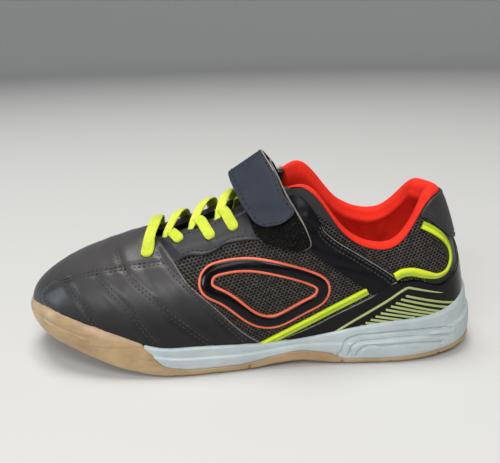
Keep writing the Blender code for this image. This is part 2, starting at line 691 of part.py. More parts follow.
def make_covers():
    for side in ("lateral", "medial"):
        low = side_line(side, raised(EYESTAY_EDGE, side), 14)
        high = np.stack([low[:, 0], np.full(len(low), THROAT_RISE)], -1)
        cover("eyestay_" + side, low, high, 2, LEATHER)
        cover("quarter_band_" + side, side_line(side, raised(BAND_FOOT, side), 14),
              side_line(side, raised(BAND_TOP, side), 14), 2, LEATHER)
        line = side_line(side, raised(LIME_LOWER, side, 0.5), 10)
        ribbon_cover("piping_lower_" + side, line, np.full(len(line), LIME_LOWER_WIDTH), LIME)
        line = side_line(side, LIME_COLLAR, 22)
        narrow, wide = LIME_COLLAR_WIDTHS
        widths = narrow + (wide - narrow) * smooth_step(0.5, 0.75, np.linspace(0, 1, len(line)))
        ribbon_cover("piping_collar_" + side, line, widths, LIME)
        line = side_loop(side, raised(SIDE_FRAME, side), 32)
        ribbon_cover("side_frame_" + side, line, np.full(len(line), FRAME_WIDTH), FILM, closed=True)
    top = round_heel(COUNTER_EDGE, COUNTER_BACK)
    foot = np.stack([top[:, 0], lip_rise(top[:, 0]) + ABOVE_LIP], -1)
    cover("heel_counter", foot, top, 4, FILM)
    low = round_heel(TAB_EDGE, TAB_BACK)
    high = np.stack([low[:, 0], np.full(len(low), THROAT_RISE)], -1)
    cover("heel_tab", low, high, 3, LEATHER)
    top = round_toe(VAMP_EDGE)
    foot = np.stack([top[:, 0], lip_rise(top[:, 0]) + ABOVE_LIP], -1)
    cover("vamp", foot, top, ROWS_ABOVE_LIP, LEATHER, gap=VAMP_GAP)


make_collar_lining()
make_tongue()
make_covers()


# Strap: one ribbon from its pad on the lateral side, over the instep, round the ring and back.
# lift: how far it lies off the upper, or none where it spans free between the places given.
StrapRow = namedtuple("StrapRow", "lift front rear")
STRAP_LOWER = [
    StrapRow(1.9, (106.0, 60.6), (87.6, 57.4)),
    StrapRow(1.9, (109.0, 63.4), (84.6, 60.4)),
    StrapRow(1.9, (111.0, 67.2), (86.0, 67.0)),
    StrapRow(2.1, (112.6, 70.6), (89.6, 75.0)),
    StrapRow(None, (115.0, 14.4, 77.6), (94.6, 23.2, 82.6)),
    StrapRow(None, (117.6, 7.0, 83.0), (98.8, 13.0, 90.6)),
    StrapRow(None, (118.4, 0.0, 85.2), (101.4, 2.6, 94.6)),
    StrapRow(None, (117.4, -5.4, 83.0), (99.6, -6.2, 91.6)),
]
STRAP_UPPER = [
    StrapRow(None, (120.2, -7.0, 86.8), (103.6, -7.6, 96.6)),
    StrapRow(None, (122.6, 0.4, 89.6), (106.2, 1.4, 100.6)),
    StrapRow(None, (122.0, 7.6, 88.2), (104.6, 9.8, 99.0)),
    StrapRow(None, (118.6, 15.6, 82.0), (100.2, 18.8, 92.4)),
    StrapRow(None, (116.0, 18.6, 77.2), (97.0, 26.6, 84.0)),
    StrapRow(5.6, (109.8, 69.2), (91.2, 76.6)),
    StrapRow(5.6, (107.2, 67.4), (94.4, 72.4)),
]
STRAP_THICK = 1.2
STRAP_STEPS = 5
STRAP_COLOUR = (0.05, 0.06, 0.09)

# Ring that the strap turns round: a wire bent to a rounded oblong, and the tab that holds it.
RING_WIRE = 1.1
RING_FRONT = np.array([115.8, -9.0, 80.6])
RING_REAR = np.array([98.2, -10.4, 88.2])
RING_PAST_STRAP = 2.0
RING_SLOT = 5.6
RING_CORNER_STEPS = 3
RING_LONG = (RING_REAR - RING_FRONT) / np.linalg.norm(RING_REAR - RING_FRONT)
STRAP_PULL = np.array([-0.35, -0.66, -0.66])
STRAP_PULL -= RING_LONG * (STRAP_PULL @ RING_LONG)
STRAP_PULL /= np.linalg.norm(STRAP_PULL)
RING_LIE = np.array([-0.2, -0.93, -0.2])
RING_LIE -= RING_LONG * (RING_LIE @ RING_LONG)
RING_LIE /= np.linalg.norm(RING_LIE)
TAB_WIDTH = 13.0
TAB_THICK = 1.0
TAB_FOOT = 16.0


def between(front, rear, steps):
    shares = np.linspace(0, 1, steps)[:, None]
    return np.array(front) * (1 - shares) + np.array(rear) * shares


def strap_points(row):
    line = between(row.front, row.rear, STRAP_STEPS)
    if row.lift is None:
        return line
    spots = np.array([on_side("lateral", *point) for point in line])
    return skin(spots[:, 0], spots[:, 1], row.lift)


def turn_points(front, rear, away, radius, degrees, steps):
    """Rows round a bar of the ring, from under it to over it; away is the way that it pulls."""
    over = np.cross(RING_LONG, away)
    rows = []
    for angle in np.radians(degrees):
        off = (away * np.cos(angle) + over * np.sin(angle)) * radius
        rows.append(between(front + off, rear + off, steps))
    return rows


def sheet(name, grid, thick, colour):
    """Solid on one side of a grid of points [step, row, 3]."""
    forward = np.gradient(grid, axis=1)
    sideways = np.gradient(grid, axis=0)
    normal = np.cross(sideways, forward)
    normal /= np.linalg.norm(normal, axis=-1, keepdims=True)
    return loft(name, np.concatenate([grid, (grid + normal * thick)[::-1]]), colour,
                strips=True, round_rows=True)


def make_strap():
    turn = turn_points(RING_FRONT, RING_REAR, STRAP_PULL, RING_WIRE + GAP + STRAP_THICK,
                       (-90, -45, 0, 45, 90), STRAP_STEPS)
    rows = [strap_points(row) for row in STRAP_LOWER] + turn + [strap_points(row) for row in STRAP_UPPER]
    sheet("strap", np.stack(rows, 1), STRAP_THICK, STRAP_COLOUR)


def make_ring():
    half_long = np.linalg.norm(RING_REAR - RING_FRONT) / 2 + RING_PAST_STRAP
    half_wide = RING_SLOT / 2
    corner = 2.0
    middle = (RING_FRONT + RING_REAR) / 2 + RING_LIE * half_wide
    path = []
    for sign_long, sign_wide, start in ((1, 1, 0), (-1, 1, 90), (-1, -1, 180), (1, -1, 270)):
        for angle in np.radians(np.linspace(start, start + 90, RING_CORNER_STEPS)):
            along = sign_long * (half_long - corner) + corner * np.cos(angle)
            across = sign_wide * (half_wide - corner) + corner * np.sin(angle)
            path.append(middle + RING_LONG * along + RING_LIE * across)
    curve = bpy.data.curves.new("ring wire", "CURVE")
    curve.dimensions = "3D"
    curve.bevel_depth = RING_WIRE * MM
    curve.bevel_resolution = 1
    line = curve.splines.new("POLY")
    line.points.add(len(path) - 1)
    for point, place in zip(line.points, to_world(path)):
        point.co = (*place, 1)
    line.use_cyclic_u = True
    holder = bpy.data.objects.new("ring wire", curve)
    mesh = bpy.data.meshes.new_from_object(holder)
    bpy.data.objects.remove(holder)
    keep("strap_ring", mesh, (0.25, 0.25, 0.27))


def make_ring_tab():
    middle = (RING_FRONT + RING_REAR) / 2 + RING_LIE * RING_SLOT
    front = middle - RING_LONG * TAB_WIDTH / 2
    rear = middle + RING_LONG * TAB_WIDTH / 2
    rows = turn_points(front, rear, RING_LIE, RING_WIRE + GAP, (230, 180, 130, 80, 30), 3)
    for down in (0.5, 1.0):
        line = between(front, rear, 3) + np.array([0.0, 0.0, -TAB_FOOT * down])
        spots = np.array([on_side("medial", point[0], point[2]) for point in line])
        rows.append(skin(spots[:, 0], spots[:, 1], COVER_GAP + COVER_THICK + 0.5))
    sheet("ring_tab", np.stack(rows, 1), TAB_THICK, LEATHER)


# Lace: where each strip runs, from the hole or edge it leaves to the one it enters
LacePoint = namedtuple("LacePoint", "along across up")
LACE_WIDTH = 6.0
LACE_THICK = 1.5
LACE_STEPS = 9
THROAT_UP = np.array([0.42, 0.0, 0.91])
VAMP_UP = np.array([0.2, 0.0, 0.98])
LACE_BAR = [LacePoint(162.2, 22.6, 55.4), LacePoint(161.2, 14, 60.3), LacePoint(160.2, 6, 64.2),
            LacePoint(159.8, 0, 65.4), LacePoint(159.8, -6, 65.4), LacePoint(160.4, -14, 61.6),
            LacePoint(161.4, -22, 56.8)]
# Each crossing: the strip from the lateral edge up to the medial hole, and the one under it
# from the medial edge to the lateral hole.
LACE_CROSSINGS = [
    ([LacePoint(154.0, 7.4, 60.0), LacePoint(151.2, 2, 65.0), LacePoint(148.6, -5, 68.0),
      LacePoint(146.6, -11, 67.6), LacePoint(145.0, -17.5, 62.6)],
     [LacePoint(154.0, -7.4, 61.0), LacePoint(152.2, -2, 63.6), LacePoint(149.8, 5, 65.2),
      LacePoint(147.4, 11, 64.2), LacePoint(144.8, 18, 60.6)]),
    ([LacePoint(140.8, 8.0, 64.6), LacePoint(138.0, 2, 70.2), LacePoint(135.0, -5, 73.4),
      LacePoint(132.6, -11, 73.0), LacePoint(130.6, -18, 67.2)],
     [LacePoint(140.8, -8.0, 66.0), LacePoint(139.0, -2, 68.8), LacePoint(136.0, 5, 70.6),
      LacePoint(133.0, 12, 69.2), LacePoint(129.8, 20.4, 63.6)]),
    ([LacePoint(127.6, 8.2, 69.6), LacePoint(125.4, 2, 75.4), LacePoint(123.0, -5, 78.2),
      LacePoint(121.2, -11, 77.2), LacePoint(120.0, -17, 71.6)],
     [LacePoint(127.6, -8.0, 71.2), LacePoint(126.0, -2, 74.0), LacePoint(123.6, 5, 75.8),
      LacePoint(121.2, 12, 74.6), LacePoint(118.8, 20, 68.4)]),
]
LACE_END = [LacePoint(118.0, -7.0, 74.4), LacePoint(116.0, -2, 76.6), LacePoint(113.6, 5, 78.4),
            LacePoint(111.6, 10.6, 78.4)]


def lace_strip(name, points, over_way):
    points = np.array(points, dtype=float)
    far = np.concatenate([[0], np.cumsum(np.linalg.norm(np.diff(points, axis=0), axis=1))])
    wanted = np.linspace(0, far[-1], LACE_STEPS)
    middle = np.stack([eased(far, points[:, axis])(wanted) for axis in range(3)], -1)
    ahead = np.gradient(middle, axis=0)
    beside = np.cross(ahead, over_way)
    beside *= LACE_WIDTH / 2 / np.linalg.norm(beside, axis=-1, keepdims=True)
    over = np.cross(beside, ahead)
    over *= LACE_THICK / 2 / np.linalg.norm(over, axis=-1, keepdims=True)
    rows = [middle + beside + over, middle - beside + over, middle - beside - over, middle + beside - over]
    return loft(name, np.array(rows), LIME, strips=True, round_rows=True)


def make_laces():
    lace_strip("lace_bar_front", LACE_BAR, VAMP_UP)
    for number, (over, under) in enumerate(LACE_CROSSINGS, 1):
        upper_strip = lace_strip("lace_cross_%d" % number, over, THROAT_UP)
        lower_strip = lace_strip("lace_under_%d" % number, under, THROAT_UP)
        combine(upper_strip, lower_strip, "UNION")
    lace_strip("lace_end", LACE_END, THROAT_UP)


make_strap()
make_ring()
make_ring_tab()
make_laces()
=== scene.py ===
"""Looks of an indoor court shoe for the left foot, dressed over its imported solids.

Shoe places are in millimetres: along (from the back of the heel to the toe), across (plus is the
lateral side) and up (from the floor).  A spot on the upper is a place round it, from the back of
the heel along the lateral side and back along the medial one, and a rise from the sole to the edge.
"""
from collections import namedtuple

import bmesh
import bpy
import numpy as np
from mathutils import Matrix


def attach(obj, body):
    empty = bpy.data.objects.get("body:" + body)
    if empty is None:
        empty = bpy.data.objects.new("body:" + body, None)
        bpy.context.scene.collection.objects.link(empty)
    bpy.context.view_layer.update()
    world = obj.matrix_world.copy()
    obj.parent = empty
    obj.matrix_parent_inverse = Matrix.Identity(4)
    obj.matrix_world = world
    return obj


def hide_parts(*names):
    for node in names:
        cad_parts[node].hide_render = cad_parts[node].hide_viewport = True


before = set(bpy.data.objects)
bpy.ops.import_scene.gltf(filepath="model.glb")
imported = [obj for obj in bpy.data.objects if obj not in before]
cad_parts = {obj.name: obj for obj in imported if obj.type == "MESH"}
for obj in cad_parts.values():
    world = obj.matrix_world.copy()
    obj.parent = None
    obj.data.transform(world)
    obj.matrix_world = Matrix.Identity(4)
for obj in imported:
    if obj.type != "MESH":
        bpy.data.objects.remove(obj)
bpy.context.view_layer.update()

MM = 0.001
UP = np.array([0.0, 0.0, 1.0])
GAP = 0.3
UPPER_WALL = 2.0
WALL_INSET = 4.0
INSOLE_THICK = 3.0
NUDGE = 1e-4
HIGHEST_LIP = 0.7
HALVINGS = 30
SHARP_FROM = np.radians(48)

# One row for each section round the shoe, from the back of the heel along the lateral side.
Section = namedtuple("Section", "name along across base lip edge_along edge_across edge_up "
                                "swell rise spread fall")
SECTIONS = [
    Section("heel back", 0, 0, 17, 33, 19.5, 0, 79, -1.5, 22, 6.5, 15),
    Section("heel corner", 9, 21.5, 17, 28, 23.5, 12, 79, -1, 22, 6, 15),
    Section("heel side", 28, 30, 16.5, 22.8, 31, 18.5, 74, 0, 20, 5, 16),
    Section("ankle rear", 45, 32, 15.5, 21.4, 41, 23.5, 60, 0.5, 15, 3, 12),
    Section("ankle", 64, 32.3, 13.5, 18.6, 54, 26, 56.5, 1, 14, 2, 12),
    Section("waist", 86, 33.2, 10.5, 14.4, 71, 27, 67, 1.5, 18, 2, 16),
    Section("instep", 108, 35.8, 9, 13, 88, 23, 86, 2, 24, 6, 22),
    Section("lace top", 124, 38.4, 9.5, 13.6, 104, 14.5, 79, 2, 26, 14, 20),
    Section("lace middle", 140, 41, 10.5, 14.4, 122, 11, 70.5, 2, 26, 18, 14),
    Section("ball", 156, 42.2, 11.5, 14.8, 140, 10.5, 63.5, 1.5, 25, 19, 10),
    Section("lace front", 172, 41.5, 15.6, 19.9, 153, 9.5, 59.5, 1.5, 23, 18, 8),
    Section("toe side", 190, 38, 20, 25.2, 160, 7, 59.5, 1.5, 22, 20, 8),
    Section("toe corner", 209, 29.5, 23, 29, 162.5, 3.5, 61, 2, 20, 22, 8),
    Section("toe outer", 223, 15, 23.6, 28.8, 163.3, 1.2, 61.5, 2.3, 19, 22, 9),
    Section("toe tip", 230, -4, 23, 27, 163.5, -1, 61.6, 2.5, 18, 22, 9),
    Section("toe inner", 224, -21, 23.6, 28.8, 163.2, -3, 61.3, 2.3, 19, 22, 9),
    Section("medial toe corner", 211, -32.5, 23, 29, 162, -5, 60.8, 2, 20, 22, 8),
    Section("medial toe side", 194, -39, 20, 25.6, 159, -8, 60, 1.5, 22, 20, 8),
    Section("medial lace front", 174, -41.5, 15.6, 20.2, 152, -10, 61, 1.5, 23, 18, 9),
    Section("medial ball", 156, -40, 11.5, 14.8, 139, -11, 65.5, 1.5, 26, 18, 11),
    Section("medial lace middle", 138, -36, 11, 14.7, 121, -11.5, 72.5, 1.5, 28, 16, 16),
    Section("medial lace top", 120, -31.8, 10.5, 14.2, 103, -14.5, 81, 1, 28, 11, 22),
    Section("medial instep", 102, -29, 10.5, 14, 87, -22.5, 88.5, 0.5, 26, 5, 24),
    Section("medial waist", 82, -28.8, 11.5, 15.3, 70, -26.5, 70, 0.5, 20, 1, 18),
    Section("medial ankle", 62, -30, 13.5, 18.6, 53, -26, 61, 0.5, 15, 1.5, 14),
    Section("medial ankle rear", 45, -31, 15.5, 21.4, 40.5, -23.5, 64, 0.5, 16, 3, 13),
    Section("medial heel side", 28, -29.5, 16.5, 22.8, 30.5, -18.5, 75.5, 0, 20, 5, 16),
    Section("medial heel corner", 9, -21.5, 17, 28, 23.5, -12, 79, -1, 22, 6, 15),
]
TOE_TIP = [section.name for section in SECTIONS].index("toe tip")

# Side view of the tread, from the heel to the toe: underside of the gum and top of its band.
Tread = namedtuple("Tread", "along under band")
TREAD = [
    Tread(0, 5.5, 8.4),
    Tread(13, 3.2, 6.2),
    Tread(27, 1.3, 4.3),
    Tread(40, 0.2, 3.2),
    Tread(50, 0, 2.8),
    Tread(66, 0, 2.8),
    Tread(76, 0.9, 6.4),
    Tread(90, 2.7, 8.4),
    Tread(102, 1.8, 6.6),
    Tread(114, 0.2, 4.2),
    Tread(120, 0, 3.5),
    Tread(140, 0, 3.6),
    Tread(148, 0.0, 4.6),
    Tread(157, 0.9, 6.6),
    Tread(172, 4.0, 8.4),
    Tread(186, 7.8, 12),
    Tread(201, 11.8, 16),
    Tread(214, 14.6, 18.8),
    Tread(230, 16.5, 20.6),
]


# Curves
def closed_spline(knots, values, period):
    """Smooth closed curve through rows of values; returns a function of place and order."""
    steps = np.diff(np.append(knots, period))
    count = len(knots)
    matrix = np.zeros((count, count))
    slopes = (np.roll(values, -1, axis=0) - values) / steps[:, None]
    for row in range(count):
        before = steps[row - 1]
        after = steps[row]
        matrix[row, row - 1] = before
        matrix[row, row] = 2 * (before + after)
        matrix[row, (row + 1) % count] = after
    bends = np.linalg.solve(matrix, 6 * (slopes - np.roll(slopes, 1, axis=0)))

    def curve(place, order=0):
        place = np.mod(np.asarray(place, dtype=float), period)
        row = np.clip(np.searchsorted(knots, place, side="right") - 1, 0, count - 1)
        following = (row + 1) % count
        step = steps[row][..., None]
        late = (place - knots[row])[..., None] / step
        early = 1 - late
        start, end = values[row], values[following]
        bend, next_bend = bends[row], bends[following]
        if order == 0:
            curving = (early ** 3 - early) * bend + (late ** 3 - late) * next_bend
            return early * start + late * end + step ** 2 / 6 * curving
        curving = (1 - 3 * early ** 2) * bend + (3 * late ** 2 - 1) * next_bend
        return (end - start) / step + step / 6 * curving

    return curve


def run(points):
    """Distance along a line of points, from 0 at its first one."""
    return np.concatenate([[0], np.cumsum(np.linalg.norm(np.diff(points, axis=0), axis=1))])


def hermite(knots, values, slopes, at):
    """Cubic curve through values at knots, with the slopes given there."""
    row = np.clip(np.searchsorted(knots, at, side="right") - 1, 0, len(knots) - 2)
    shape = row.shape + (1,) * (values.ndim - 1)
    step = np.diff(knots)[row].reshape(shape)
    t = (at - knots[row]).reshape(shape) / step
    start = values[row] * (1 + 2 * t) * (1 - t) ** 2 + slopes[row] * step * t * (1 - t) ** 2
    end = values[row + 1] * t ** 2 * (3 - 2 * t) + slopes[row + 1] * step * t ** 2 * (t - 1)
    return start + end


def eased(xs, ys):
    """Curve through points that never overshoots, so equal neighbours stay flat between them."""
    xs = np.asarray(xs, dtype=float)
    ys = np.asarray(ys, dtype=float)
    slopes = np.diff(ys) / np.diff(xs)
    same_way = slopes[:-1] * slopes[1:] > 0
    mean = 2 * slopes[:-1] * slopes[1:] / np.where(same_way, slopes[:-1] + slopes[1:], 1)
    tangents = np.concatenate([slopes[:1], np.where(same_way, mean, 0), slopes[-1:]])
    return lambda x: hermite(xs, ys, tangents, np.clip(np.asarray(x, dtype=float), xs[0], xs[-1]))


def smooth_step(low, high, x):
    share = np.clip((x - low) / (high - low), 0, 1)
    return share * share * (3 - 2 * share)


def flowing(points, wanted):
    """Smooth curve through rows of points, at shares of its length or at a number of even steps."""
    points = np.asarray(points, dtype=float)
    flat = points.reshape(len(points), -1)
    far = run(flat)
    parts = np.linspace(0, 1, wanted) if np.isscalar(wanted) else np.asarray(wanted)
    line = hermite(far, flat, np.gradient(flat, far, axis=0), parts * far[-1])
    return line.reshape(-1, *points.shape[1:])


def read_off(at, far, rows):
    """Rows of three values at distances along a line."""
    return np.stack([np.interp(at, far, rows[:, axis]) for axis in range(3)], -1)


def unit(vectors):
    return vectors / np.maximum(np.linalg.norm(vectors, axis=-1, keepdims=True), 1e-12)


# The upper's own function, as in its solids
ROWS = np.array([section[1:] for section in SECTIONS], dtype=float)
CHORDS = np.linalg.norm(np.roll(ROWS[:, :2], -1, axis=0) - ROWS[:, :2], axis=1)
KNOTS = np.concatenate([[0], np.cumsum(CHORDS)[:-1]]) / CHORDS.sum()
LOOP = closed_spline(KNOTS, ROWS, 1.0)
TOE_PLACE = KNOTS[TOE_TIP]
TREAD_UNDER = eased([row.along for row in TREAD], [row.under for row in TREAD])
TREAD_BAND = eased([row.along for row in TREAD], [row.band for row in TREAD])


def outward(place):
    slope = unit(LOOP(place, order=1)[..., :2])
    return np.stack([-slope[..., 1], slope[..., 0]], axis=-1)


def outline(place, inset=0.0):
    """Plan of the sole, moved inward by inset: along and across."""
    return LOOP(place)[..., :2] - outward(place) * np.asarray(inset)[..., None]


def at_height(flat, up):
    return np.concatenate([flat, np.broadcast_to(up, flat.shape[:-1])[..., None]], axis=-1)


def wall(place, rise):
    """Outside of the upper: rise runs from 0 at the sole to 1 at the collar and throat edge."""
    place, rise = np.broadcast_arrays(np.asarray(place, dtype=float), np.asarray(rise, dtype=float))
    row = LOOP(place)
    out = at_height(outward(place), 0.0)
    start = at_height(outline(place, np.full(place.shape, WALL_INSET)), row[..., 2])
    edge = row[..., 4:7]
    near_start = start + out * row[..., 7:8] + UP * row[..., 8:9]
    near_edge = edge + out * row[..., 9:10] - UP * row[..., 10:11]
    t = rise[..., None]
    return ((1 - t) ** 3 * start + 3 * t * (1 - t) ** 2 * near_start
            + 3 * t ** 2 * (1 - t) * near_edge + t ** 3 * edge)


def normals(spots):
    place, rise = spots[..., 0], spots[..., 1]
    round_slope = wall(place + NUDGE, rise) - wall(place - NUDGE, rise)
    up_slope = wall(place, np.clip(rise + NUDGE, 0, 1)) - wall(place, np.clip(rise - NUDGE, 0, 1))
    return unit(np.cross(up_slope, round_slope))


def lifted(spots, off=0.0):
    """Points off the upper's outside by a distance along its normal."""
    return wall(spots[..., 0], spots[..., 1]) + normals(spots) * np.asarray(off)[..., None]


def at_rise(places, rise):
    """Spots at one rise, or at a rise for each place."""
    return np.stack(np.broadcast_arrays(places, rise), -1)


def lip_rise(place):
    """Share of the upper's wall that the sole's side covers, found by halving."""
    lip = LOOP(place)[..., 3]
    low = np.zeros_like(lip)
    high = np.full_like(lip, HIGHEST_LIP)
    for _ in range(HALVINGS):
        middle = (low + high) / 2
        short = wall(place, middle)[..., 2] < lip
        low = np.where(short, middle, low)
        high = np.where(short, high, middle)
    return low


EDGE_RING = outline(np.linspace(0, 1, 2000))
CENTRE = (EDGE_RING.max(axis=0) + EDGE_RING.min(axis=0)) / 2


def to_world(points):
    """Shoe millimetres to metres, toe toward -X and lateral side toward -Y."""
    points = np.asarray(points, dtype=float)
    return np.stack([CENTRE[0] - points[..., 0], CENTRE[1] - points[..., 1], points[..., 2]], -1) * MM


# Finding spots of the upper
SIDES = ("lateral", "medial")
SEARCH_COLUMNS = 400
SEARCH_ROWS = 100
SEARCH_ROUNDS = 5
LONGEST_MOVE = 0.01
SEARCH = {}
for side, ends in zip(SIDES, ((0, TOE_PLACE), (TOE_PLACE, 1))):
    steps_of_spots = (np.linspace(*ends, SEARCH_COLUMNS), np.linspace(0, 1, SEARCH_ROWS))
    spot_grid = np.stack(np.meshgrid(*steps_of_spots, indexing="ij"), -1)
    SEARCH[side] = (spot_grid, wall(spot_grid[..., 0], spot_grid[..., 1]))


def find_spots(points, side, axes):
    """Spots of one side of the upper nearest to rows of points, measured along the axes given."""
    points = np.asarray(points, dtype=float)
    spot_grid, places = SEARCH[side]
    spots = []
    for point in points:
        far = ((places[..., axes] - point) ** 2).sum(-1)
        spots.append(spot_grid[np.unravel_index(far.argmin(), far.shape)])
    spots = np.array(spots)
    for _ in range(SEARCH_ROUNDS):
        found = wall(spots[:, 0], spots[:, 1])
        round_slope = ((wall(spots[:, 0] + NUDGE, spots[:, 1]) - found) / NUDGE)[:, axes]
        up_slope = ((wall(spots[:, 0], spots[:, 1] + NUDGE) - found) / NUDGE)[:, axes]
        miss = points - found[:, axes]
        rr, ru, uu = [(a * b).sum(-1) for a, b in
                      ((round_slope, round_slope), (round_slope, up_slope), (up_slope, up_slope))]
        to_round = (round_slope * miss).sum(-1)
        to_up = (up_slope * miss).sum(-1)
        scale = rr * uu - ru ** 2
        move = np.stack([uu * to_round - ru * to_up, rr * to_up - ru * to_round], -1) / scale[:, None]
        spots = spots + np.clip(move, -LONGEST_MOVE, LONGEST_MOVE)
    spots[:, 1] = np.clip(spots[:, 1], 0, 1)
    return spots


MEDIAL_HIGHER = 2.0


def side_line(side, points, wanted, higher=1.0):
    """Smooth line on the upper through side-view points (along, up), as spots."""
    lift = MEDIAL_HIGHER * higher if side == "medial" else 0.0
    line = flowing(np.array(points, dtype=float) + np.array([0.0, lift]), wanted)
    return find_spots(line, side, [0, 2])


def space_line(side, points, wanted):
    """Smooth line on the upper through points given on its lateral side."""
    mirror = 1.0 if side == "lateral" else -1.0
    line = flowing(np.array(points, dtype=float) * np.array([1.0, mirror, 1.0]), wanted)
    return find_spots(line, side, [0, 1, 2])


def distance_to(points, line):
    """Distance from every point to the nearest of a line's points."""
    flat = points.reshape(-1, 3)
    far = [np.sqrt(((part[:, None] - line[None]) ** 2).sum(-1).min(1))
           for part in np.array_split(flat, len(flat) // 1500 + 1)]
    return np.concatenate(far).reshape(points.shape[:-1])


# Meshes
def grid_faces(rows, columns, round_rows=False, round_columns=False):
    """Four corners of every face of a grid, which may close on itself either way."""
    number = np.arange(rows * columns).reshape(rows, columns)
    if round_rows:
        number = np.vstack([number, number[:1]])
    if round_columns:
        number = np.hstack([number, number[:, :1]])
    corners = [number[:-1, :-1], number[:-1, 1:], number[1:, 1:], number[1:, :-1]]
    return np.stack(corners, -1).reshape(-1, 4)


def tube_faces(rows, columns):
    """Faces of a tube with rows round it and columns along it, both ends capped."""
    number = np.arange(rows) * columns
    return [*map(tuple, grid_faces(rows, columns, True)), tuple(number), tuple(number + columns - 1)]


def ways(middle, out, closed=False):
    """Ways beside and over a line of points, square to it; out is about the way up at each point."""
    ahead = np.gradient(middle, axis=0)
    if closed:
        ahead = np.roll(middle, -1, axis=0) - np.roll(middle, 1, axis=0)
    beside = unit(np.cross(out, ahead))
    return beside, unit(np.cross(ahead, beside))


def piece(name, points, faces, materials, replaces=(), which=None, uvs=None, marks=None):
    """Closed mesh in the shoe's frame that rides on it."""
    mesh = bpy.data.meshes.new(name)
    mesh.from_pydata(to_world(points).reshape(-1, 3).tolist(), [], [tuple(map(int, f)) for f in faces])
    for material in materials:
        mesh.materials.append(material)
    if which is not None:
        mesh.polygons.foreach_set("material_index", np.asarray(which, dtype=np.int32))
    if uvs is not None:
        corners = np.zeros(len(mesh.loops), dtype=np.int32)
        mesh.loops.foreach_get("vertex_index", corners)
        mesh.uv_layers.new(name="UVMap").data.foreach_set("uv", uvs.reshape(-1, 2)[corners].ravel())
    for mark, values in (marks or {}).items():
        mesh.attributes.new(mark, "FLOAT", "POINT").data.foreach_set("value", values.ravel())
    working = bmesh.new()
    working.from_mesh(mesh)
    bmesh.ops.recalc_face_normals(working, faces=working.faces)
    working.to_mesh(mesh)
    working.free()
    mesh.shade_smooth()
    mesh.set_sharp_from_angle(angle=SHARP_FROM)
    item = bpy.data.objects.new(name, mesh)
    bpy.context.scene.collection.objects.link(item)
    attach(item, "root")
    if replaces:
        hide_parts(*replaces)
    return item


def beside_border(rows, columns, start=0, end=0, first=0, last=0):
    """Which faces of a grid lie within a number of faces of each of its four sides."""
    chosen = np.zeros((rows - 1, columns - 1), dtype=bool)
    chosen[:start] = True
    chosen[rows - 1 - end:] = True
    chosen[:, :first] = True
    chosen[:, columns - 1 - last:] = True
    return chosen


def sheet(name, top, under, materials, replaces=(), uvs=None, marks=None, pale=None, thin=1):
    """Closed solid between two grids of points; the underside keeps every row that is a multiple of thin.

    The faces chosen by pale, and the rim beside them, take the last material.
    """
    rows, columns = top.shape[:2]
    if pale is None:
        pale = beside_border(rows, columns)
    kept = np.unique(np.append(np.arange(0, rows, thin), rows - 1))
    seen = np.arange(rows * columns).reshape(rows, columns)
    hidden = rows * columns + np.arange(len(kept) * columns).reshape(len(kept), columns)
    rim = []
    rim_pale = []
    for row in (0, -1):
        for column in range(columns - 1):
            ahead = column + 1
            rim.append((seen[row, column], seen[row, ahead], hidden[row, ahead], hidden[row, column]))
            rim_pale.append(pale[row, column])
    for column in (0, -1):
        for number, (first, last) in enumerate(zip(kept[:-1], kept[1:])):
            rim.append((*seen[first:last + 1, column], hidden[number + 1, column], hidden[number, column]))
            rim_pale.append(pale[first:last, column].any())
    faces = list(grid_faces(rows, columns))
    below = list(grid_faces(len(kept), columns) + rows * columns)
    which = np.concatenate([pale.ravel(), np.zeros(len(below)), rim_pale]) * (len(materials) - 1)
    points = np.concatenate([top.reshape(-1, 3), under[kept].reshape(-1, 3)])
    if uvs is not None:
        uvs = np.concatenate([uvs.reshape(-1, 2), uvs[kept].reshape(-1, 2)])
    marks = {mark: np.concatenate([values.ravel(), values[kept].ravel()])
             for mark, values in (marks or {}).items()}
    return piece(name, points, faces + below + rim, materials, replaces, which, uvs, marks)


def sweep(name, middle, out, profile, materials, closed=False, scale=1.0, replaces=(), which=None):
    """Solid with a closed profile (beside, above) along a line; out is the way up at each point.

    On a line with two ends, which gives the material of each side of the profile.
    """
    beside, over = ways(middle, out, closed)
    profile = np.asarray(profile, dtype=float)[:, :, None, None]
    scale = np.broadcast_to(scale, (len(middle),))[:, None]
    rows = middle + (profile[:, 0] * beside + profile[:, 1] * over) * scale
    size = rows.shape[:2]
    faces = grid_faces(*size, True, True) if closed else tube_faces(*size)
    if which is not None:
        which = np.append(np.repeat(which, len(middle) - 1), [0, 0])
    return piece(name, rows, faces, materials, replaces, which)


def dome(width, height, foot, steps=9):
    """Profile of a strip that is rounded above and flat below."""
    angles = np.linspace(0, np.pi, steps)
    top = [(np.cos(angle) * width / 2, foot + np.sin(angle) ** 0.7 * height) for angle in angles]
    return top + [(-width / 2, 0.0), (width / 2, 0.0)]


def shares(count, length, fine=(0.0, 0.2, 0.45, 0.8, 1.3)):
    """Shares from 0 to 1 that lie closer together near both ends of a length."""
    near = np.array(fine) / length
    return np.concatenate([near, np.linspace(near[-1], 1 - near[-1], count)[1:-1], 1 - near[::-1]])


def from_border(points):
    """Distance of each point of a grid from the grid's border, along its rows and columns."""
    nearest = []
    for axis in (0, 1):
        steps = np.linalg.norm(np.diff(points, axis=axis), axis=-1)
        far = np.concatenate([np.zeros_like(np.take(steps, [0], axis)), np.cumsum(steps, axis)], axis)
        nearest.append(np.minimum(far, np.take(far, [-1], axis) - far))
    return np.minimum(*nearest)


def rounded(border, radius):
    """Share of full height at a distance from a rounded edge."""
    inside = 1 - np.clip(border / radius, 0, 1)
    return np.sqrt(np.maximum(1 - inside ** 2, 0))


CREASE_RIDGE = 0.35
CREASE_FADE = 1.5
EDGE_LOW = 0.25
ROLL_IN = 0.8
ROLL_WIDE = 0.6
PUFF_REACH = 7.0


